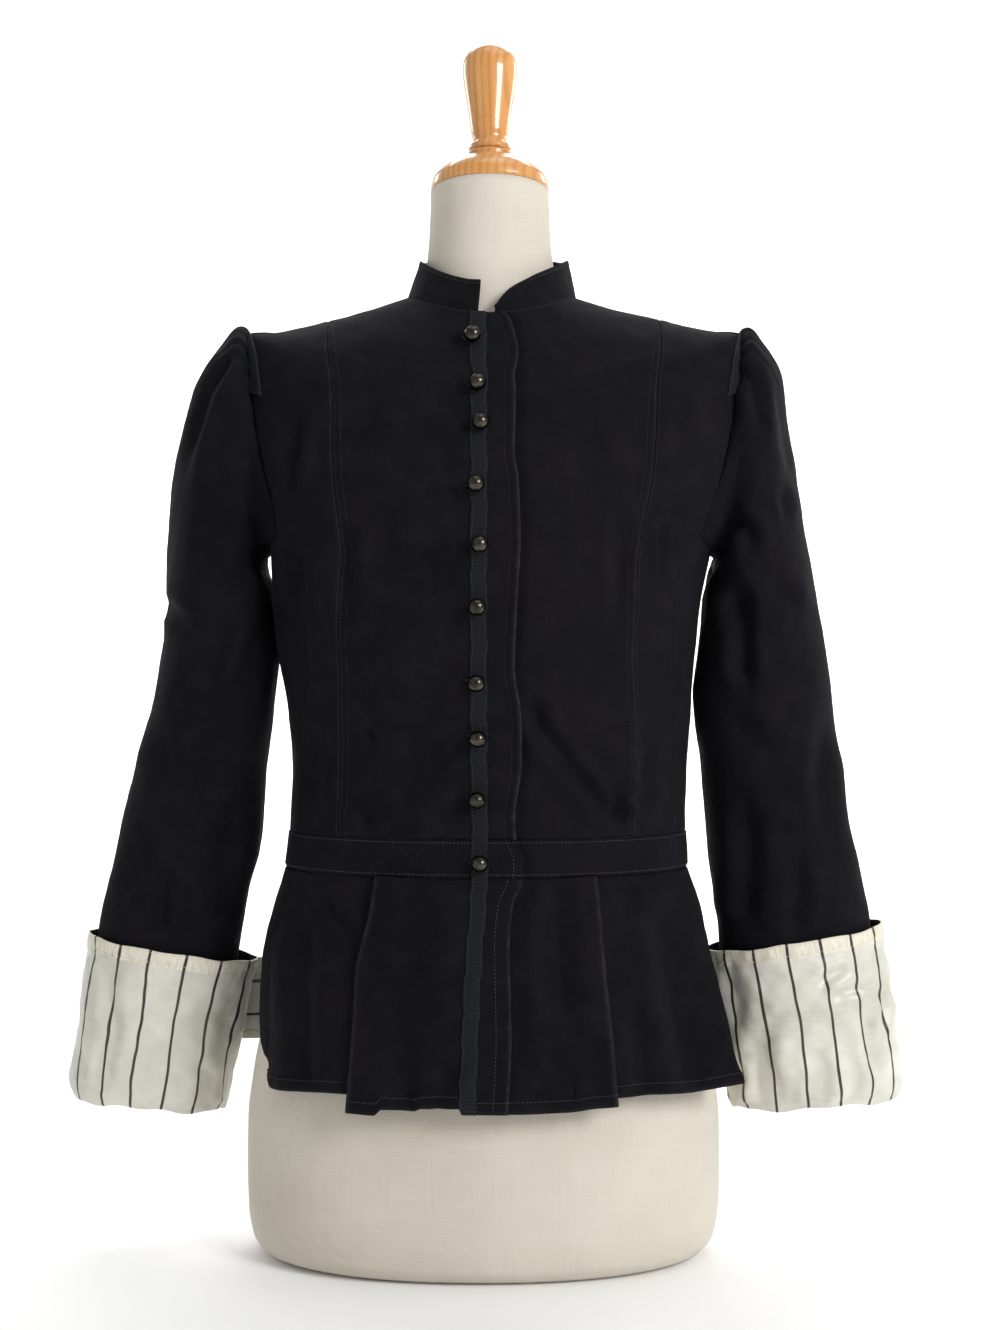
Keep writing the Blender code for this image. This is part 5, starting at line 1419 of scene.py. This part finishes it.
buttons = {"radius": 0.0064, "segments": 36, "rings": 20, "shank": 0.0016, "hole": (0.0042, 0.0011)}
# X and height of each in mm, from the collar down
buttonPlaces = inMetres([
    (-10, 698.3), (-7.4, 662), (-4.6, 631.9), (-7.9, 586.7), (-5, 544.5), (-7, 500.1), (-7.6, 446.5),
    (-6.5, 406), (-7.2, 359.8), (-5.2, 312),
])


def turnedMesh(name, profile, steps, material, place):
    # a closed turned form: the profile runs from the axis to the axis
    angles = circle(steps)
    vertices, rings = [], []
    for radius, height in profile:
        if radius < 1e-6:
            rings.append([len(vertices)] * steps)
            vertices.append((0.0, 0.0, height))
        else:
            rings.append(list(range(len(vertices), len(vertices) + steps)))
            vertices += [(radius * math.cos(a), radius * math.sin(a), height) for a in angles]
    faces = []
    for low, high in zip(rings[:-1], rings[1:]):
        for j in range(steps):
            k = (j + 1) % steps
            face = [low[j], low[k], high[k], high[j]]
            faces.append([v for n, v in enumerate(face) if v not in face[:n]])
    return link(name, smoothMesh(name, place(np.array(vertices)).tolist(), faces, [material]))


def softProfile(points, count):
    # rounds a turned profile: a curve through its points, spaced by their distance
    runs = np.concatenate([[0.0], np.cumsum(np.linalg.norm(np.diff(points, axis=0), axis=1))])
    wanted = np.linspace(0, runs[-1], count)
    wanted = np.unique(np.concatenate([wanted, runs]))
    return list(zip(*(smoothCurve(runs, points[:, k], wanted) for k in (0, 1))))


def makeButtons():
    for number, (x, height) in enumerate(buttonPlaces, start=1):
        low, high = bodyTable["level"][0], bodyTable["level"][-1]
        for _ in range(40):
            middle = (low + high) / 2
            if sectionPoint(bodyTable, 0.0, middle)[2] < height:
                low = middle
            else:
                high = middle
        level = np.array([(low + high) / 2])
        proud = band["proud"] if height < band["high"] else 0.0
        out = ribbon["lift"] + ribbon["thick"] + 0.0006 + proud
        face, normals = onBody(np.array([x]), level, out)
        normal = Vector(normals[0])
        centre = Vector(face[0]) + normal * buttons["radius"]
        turn = normal.to_track_quat("Z", "Y").to_matrix()
        r = buttons["radius"]
        profile = [(0.0, -r - 0.0004), (buttons["shank"], -r - 0.0004), (buttons["shank"], -r * 0.96)]
        arc = np.linspace(-0.42 * math.pi, 0.5 * math.pi, buttons["rings"])
        profile += [(r * math.cos(a), r * math.sin(a)) for a in arc[:-1]] + [(0.0, r)]

        def place(points, turn=turn, centre=centre):
            return np.array([list(turn @ Vector(p) + centre) for p in points])

        piece = turnedMesh(f"button{number:02d}", profile, buttons["segments"], cloths["metal"], place)
        pieces[f"button_{number:02d}"] = piece
        holeX, holeY = buttons["hole"]
        ring = circle(24)
        rows = []
        for size, lift in ((1.0, 0.0), (0.86, 0.0005), (0.62, 0.0005), (0.45, -0.0001)):
            across = x - 0.0036 + holeX * np.cos(ring) * (0.4 + 0.6 * size)
            up = level[0] + holeY * np.sin(ring) * size + 0.0008
            face, _ = onBody(across, up, out - 0.0006 + lift)
            rows.append(face)
        holePoints = np.stack(rows)
        outward = np.broadcast_to(normals[0], holePoints.shape)
        extras.append(gridPiece(f"buttonhole{number:02d}", holePoints, outward, [cloths["blackThread"]], 0.0,
                                closed=True, attributes={"wear": 0.0}))


extras = []     # stitches, buttonholes and other pieces that stand for no node
form = {"columns": 168, "underCloth": 0.0020, "capBase": 0.8294, "neckX": 0.0014, "tilt": 5.0}


def fillEnds(piece):
    # closes a tube's two open ends with a face each
    mesh = piece.data
    columns = form["columns"]
    points = [tuple(v.co) for v in mesh.vertices]
    faces = [tuple(p.vertices) for p in mesh.polygons]
    uv = [tuple(loop.uv) for loop in mesh.uv_layers["cloth"].data]
    top = len(points) - columns
    faces += [tuple(reversed(range(columns))), tuple(range(top, top + columns))]
    uv += [(0.0, 0.0)] * columns * 2
    mesh.clear_geometry()
    mesh.from_pydata(points, [], faces)
    layer = mesh.uv_layers.new(name="cloth") if not mesh.uv_layers else mesh.uv_layers[0]
    layer.data.foreach_set("uv", np.array(uv, dtype=np.float32).reshape(-1))
    mesh.shade_smooth()


def makeForm():
    level = between(formTable["level"], 6)[:, None]
    theta = circle(form["columns"])[None, :]
    theta, level = np.broadcast_arrays(theta, level)
    base = sectionPoint(formTable, theta, level)
    normals = sectionNormal(formTable, theta, level)
    covered = smoothStep((base[..., 2] - 0.16) / 0.05) * (1 - smoothStep((level - 0.738) / 0.02))
    points = base - normals * (form["underCloth"] * covered)[..., None]
    points[-1, :, 2] = form["capBase"] - 0.0003 - points[-1, :, 1] * math.tan(math.radians(form["tilt"]))
    points[-4:-1, :, 2] -= points[-4:-1, :, 1] * math.tan(math.radians(form["tilt"])) * \
        np.array([0.25, 0.5, 0.75])[:, None]
    piece = gridPiece("form_torso", points, normals, [cloths["linen"]], 0.0, closed=True)
    fillEnds(piece)
    pieces["form_torso"] = piece


def makeWood():
    turn = math.radians(form["tilt"])

    def place(points):
        x, y, z = points.T
        return np.stack([x + form["neckX"], y * math.cos(turn) + z * math.sin(turn),
                         -y * math.sin(turn) + z * math.cos(turn) + form["capBase"]], axis=-1)

    cap = [
        (0, 32.2), (15, 32.2), (17.6, 31.6), (18.6, 30), (18.2, 28), (20, 26.3), (26.2, 24.3), (32, 21.9),
        (36.8, 19), (41, 15.8), (44, 12.5), (46.1, 9.3), (47, 6), (47.3, 2.6), (46.8, 0.8), (45.9, 0),
        (0, 0),
    ]
    finial = [
        (0, 119), (5, 118.7), (10, 117.4), (15, 115), (18.8, 111.3), (21.2, 106.8), (22.3, 101.5),
        (22.4, 97.5), (21.9, 92), (20.6, 83), (18.8, 72), (17.3, 63), (16.1, 54), (15.2, 47.5), (14.2, 44),
        (14, 42.5), (14.4, 40.3), (15.8, 38.4), (17, 36.6), (17.2, 35), (16.6, 33.4), (15.8, 32.6),
        (0, 32.6),
    ]
    for name, profile, steps in (("form_cap", cap, 128), ("form_finial", finial, 96)):
        piece = turnedMesh(camel(name), softProfile(inMetres(profile), 90), steps, cloths["beech"], place)
        edge = piece.modifiers.new("edge", "BEVEL")
        edge.width = 0.0004
        edge.segments = 2
        edge.limit_method = "ANGLE"
        edge.angle_limit = math.radians(50)
        pieces[name] = piece


# stitches, laid along lines of the cloth by Geometry Nodes

stitch = {"pitch": 0.0027, "length": 0.0019, "radius": 0.00026, "lift": 0.00006, "seed": 7}


def stitchTree():
    # beads of thread along a line, each turned a little out of true
    tree = bpy.data.node_groups.new("stitchRun", "GeometryNodeTree")
    kinds = {"Line": "Geometry", "Pitch": "Float", "Length": "Float", "Radius": "Float", "Seed": "Int",
             "Thread": "Material", "Stitches": "Geometry"}
    for name, kind in kinds.items():
        way = "OUTPUT" if name == "Stitches" else "INPUT"
        tree.interface.new_socket(name=name, in_out=way, socket_type="NodeSocket" + kind)
    given = addNode(tree, "NodeGroupInput").outputs

    def step(kind, inputs, output, **settings):
        return addNode(tree, kind, inputs, **settings).outputs[output]

    curve = step("GeometryNodeMeshToCurve", {"Mesh": given["Line"]}, "Curve")
    spots = addNode(tree, "GeometryNodeCurveToPoints", {"Curve": curve, "Length": given["Pitch"]},
                    mode="LENGTH").outputs
    facing = step("FunctionNodeAlignRotationToVector", {"Vector": spots["Tangent"]}, "Rotation", axis="X")
    sway = step("FunctionNodeRandomValue", {"Seed": given["Seed"], "Min": (-0.05, -0.05, -0.07),
                                            "Max": (0.05, 0.05, 0.07)}, "Value", data_type="FLOAT_VECTOR")
    turned = step("FunctionNodeRotateRotation", {"Rotation": facing, "Rotate By": sway}, "Rotation")
    size = {"X": given["Length"], "Y": given["Radius"], "Z": given["Radius"]}
    thin = step("ShaderNodeCombineXYZ", size, "Vector")
    halved = step("ShaderNodeVectorMath", {0: thin, 1: (0.5, 1.0, 1.0)}, "Vector", operation="MULTIPLY")
    bead = step("GeometryNodeMeshUVSphere", {"Segments": 5, "Rings": 3, "Radius": 1.0}, "Mesh")
    placed = step("GeometryNodeInstanceOnPoints", {"Points": spots["Points"], "Instance": bead,
                                                   "Rotation": turned, "Scale": halved}, "Instances")
    real = step("GeometryNodeRealizeInstances", {"Geometry": placed}, "Geometry")
    smooth = step("GeometryNodeSetShadeSmooth", {"Geometry": real}, "Geometry")
    thread = step("GeometryNodeSetMaterial", {"Geometry": smooth, "Material": given["Thread"]}, "Geometry")
    addNode(tree, "NodeGroupOutput", {"Stitches": thread})
    return tree


def clothLine(name, distance, axis, near, start, end):
    # a line along the cloth at this distance from one of its edges, over a share of its length
    points, closed = grids[name]
    run = runOf(points, axis)
    away = run if near else run.take([-1], axis=axis) - run
    if axis == 0:
        points, away = points.swapaxes(0, 1), away.T
    line, last = [], len(points) - 1
    for row in range(int(start * last), int(end * last) + 1):
        order = np.argsort(away[row])
        line.append([np.interp(distance, away[row][order], points[row][order, k]) for k in range(3)])
    if closed and axis == 0:
        line.append(line[0])
    return np.array(line), name


def columnLine(name, distance, fromLeft=True, low=0.0, high=1.0):
    return clothLine(name, distance, 1, fromLeft, low, high)


def rowLine(name, distance, fromBottom=True, start=0.0, end=1.0):
    return clothLine(name, distance, 0, fromBottom, start, end)


def lifted(line, amount):
    # moves a line off the face it was read from, away from the body's own middle line
    points, name = line
    cloth, closed = grids[name]
    normals = gridNormals(cloth, closed)
    centre = cloth.mean(axis=(0, 1)) if closed else np.array([0.0, 0.0, 0.0])
    outward = cloth - centre
    outward[..., 2] = 0
    if (normals * outward).sum() < 0:
        normals = -normals
    flat, flatNormals = cloth.reshape(-1, 3), normals.reshape(-1, 3)
    nearest = [np.argmin(((flat - p) ** 2).sum(axis=1)) for p in points]
    return points + flatNormals[nearest] * amount


def sewRun(name, lines, thread, tree):
    vertices, edges = [], []
    for line in lines:
        points = lifted(line, stitch["lift"])
        edges += [(len(vertices) + i, len(vertices) + i + 1) for i in range(len(points) - 1)]
        vertices += points.tolist()
    mesh = bpy.data.meshes.new(name + "Line")
    mesh.from_pydata(vertices, edges, [])
    source = link(name + "Line", mesh)
    run = source.modifiers.new("stitches", "NODES")
    run.node_group = tree
    for socket in tree.interface.items_tree:
        if socket.name.lower() in stitch or socket.name == "Thread":
            run[socket.identifier] = stitch.get(socket.name.lower(), thread)
    graph = bpy.context.evaluated_depsgraph_get()
    plain = bpy.data.meshes.new_from_object(source.evaluated_get(graph), depsgraph=graph)
    extras.append(link(name, plain))
    bpy.data.objects.remove(source, do_unlink=True)


def makeStitches():
    tree = stitchTree()
    black = []
    for word, inner in (("right", True), ("left", False)):
        # the double rows beside the princess seams, front and back
        for distance in (0.0016, 0.0072):
            black.append(columnLine(f"front_{word}", distance, inner, 0.0, 0.86))
        black.append(columnLine(f"side_front_{word}", 0.0016, not inner, 0.0, 0.98))
        black.append(columnLine(f"side_back_{word}", 0.0016, inner, 0.0, 0.98))
        black.append(columnLine("back", 0.0016, inner is False, 0.0, 0.86))
        black.append(columnLine("back", 0.0072, inner is False, 0.0, 0.86))
    black.append(columnLine("front_right", 0.0078, False))
    black.append(columnLine("front_right", 0.0016, False, 0.0, 0.98))
    sewRun("stitchesBody", black, cloths["blackThread"], tree)
    hems = [rowLine(name, 0.0086) for name in ("peplum_front_right", "peplum_front_left", "peplum_back")]
    for name in ("waistband_right", "waistband_left", "waistband_back"):
        hems += [rowLine(name, 0.0026), rowLine(name, 0.0026, False)]
    hems += [columnLine("waistband_right", 0.0075, False), columnLine("peplum_front_right", 0.0110, False)]
    hems += [rowLine("collar", 0.0016), rowLine("collar", 0.0032, False, 0.0, 0.93)]
    sewRun("stitchesPeplum", hems, cloths["hemThread"], tree)
    tapes = [columnLine("front_ribbon", 0.0016), columnLine("front_ribbon", 0.0016, False)]
    tapes += [rowLine("front_ribbon", 0.0030), rowLine("front_ribbon", 0.0060)]
    for word in ("right", "left"):
        name = f"shoulder_tape_{word}"
        tapes += [columnLine(name, 0.0014), columnLine(name, 0.0014, False), rowLine(name, 0.0016)]
    sewRun("stitchesRibbon", tapes, cloths["blueThread"], tree)
    cream = []
    for word in ("right", "left"):
        cream += [rowLine(f"cuffFace_{word}", cuff["bandHeight"] - cuff["bandSeam"], False)]
        cream += [rowLine(f"cuffFace_{word}", 0.0014, False)]
    sewRun("stitchesCuffs", cream, cloths["creamThread"], tree)


# camera, light and floor

def makeStage():
    camera = bpy.data.cameras.new("camera")
    camera.lens = stage["lens"]
    camera.sensor_width = stage["sensor"]
    camera.clip_start = 0.02
    view = link("camera", camera)
    view.location = stage["camera"]
    view.rotation_euler = (math.radians(90), 0.0, 0.0)
    bpy.context.scene.camera = view
    # a pale floor that sweeps up into the wall behind
    start, bend = stage["wallStart"], stage["wallBend"]
    rows = [(-6.0, 0.0), (1.0, 0.0), (start, 0.0)]
    turns = np.linspace(0.1, math.pi / 2, 14)
    rows += [(start + math.sin(a) * bend, bend - math.cos(a) * bend) for a in turns]
    rows += [(start + bend, 2.0), (start + bend, 6.0)]
    sweep = np.array([[(x, y, z) for x in np.linspace(-7, 7, 9)] for y, z in rows])
    floor = gridPiece("floor", sweep, np.broadcast_to((0.0, -0.3, 1.0), sweep.shape),
                      [floorPaper(stage["floor"])], 0.0)
    world = bpy.data.worlds.new("studio")
    world.use_nodes = True
    background = world.node_tree.nodes["Background"]
    for key, value in (("Color", "#ffffff"), ("Strength", stage["sky"])):
        feed(world.node_tree, background.inputs[key], value)
    bpy.context.scene.world = world
    lights = (
        ("key", (1.7, -1.9, 1.5), 1.0, 52.0), ("fill", (-1.9, -1.8, 0.9), 1.8, 4.0),
        ("top", (0.3, -0.3, 2.6), 1.4, 7.0), ("back", (0.0, 2.4, 3.6), 3.0, 150.0),
        ("wallLeft", (-3.0, 2.2, 1.8), 1.6, 75.0), ("wallRight", (3.0, 2.2, 1.8), 1.6, 75.0),
    )
    for name, place, size, power in lights:
        lamp = bpy.data.lights.new(name, "AREA")
        lamp.size = size
        lamp.energy = power
        light = link(name, lamp)
        light.location = place
        aim = Vector((0.0, 4.4, 0.7)) if name.startswith(("wall", "back")) else Vector((0.0, 0.0, 0.45))
        light.rotation_euler = (aim - Vector(place)).to_track_quat("-Z", "Y").to_euler()
    bpy.context.scene.view_settings.view_transform = "Standard"
    bpy.context.scene.view_settings.look = "None"


# how each piece is held: every piece and extra hangs from the root body, and the frame's node it stands for
# is hidden


def declare():
    for name, piece in sorted(pieces.items()):
        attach(piece, "root")
        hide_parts(name)
        metal = name.startswith("button_")
        if metal or name.startswith("form_"):
            continue
    for piece in extras:
        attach(piece, "root")


def main():
    makeStage()
    makeForm()
    makeWood()
    print("form and its wood made")
    makeFronts()
    makeSidePanels()
    makeBack()
    makeCollar()
    makeWaistband()
    print("body, collar and waistband made")
    makePeplum()
    print("peplum made")
    for side, word in bothSides:
        angles = makeSleeve(side, word)
        makeCuff(side, word, angles)
        makeShoulderTape(side, word)
    makeCuffTab()
    print("sleeves and cuffs made")
    makeFrontRibbon()
    makeButtons()
    print("ribbon and buttons made")
    makeStitches()
    print("stitches made")
    declare()


main()
bpy.context.view_layer.update()
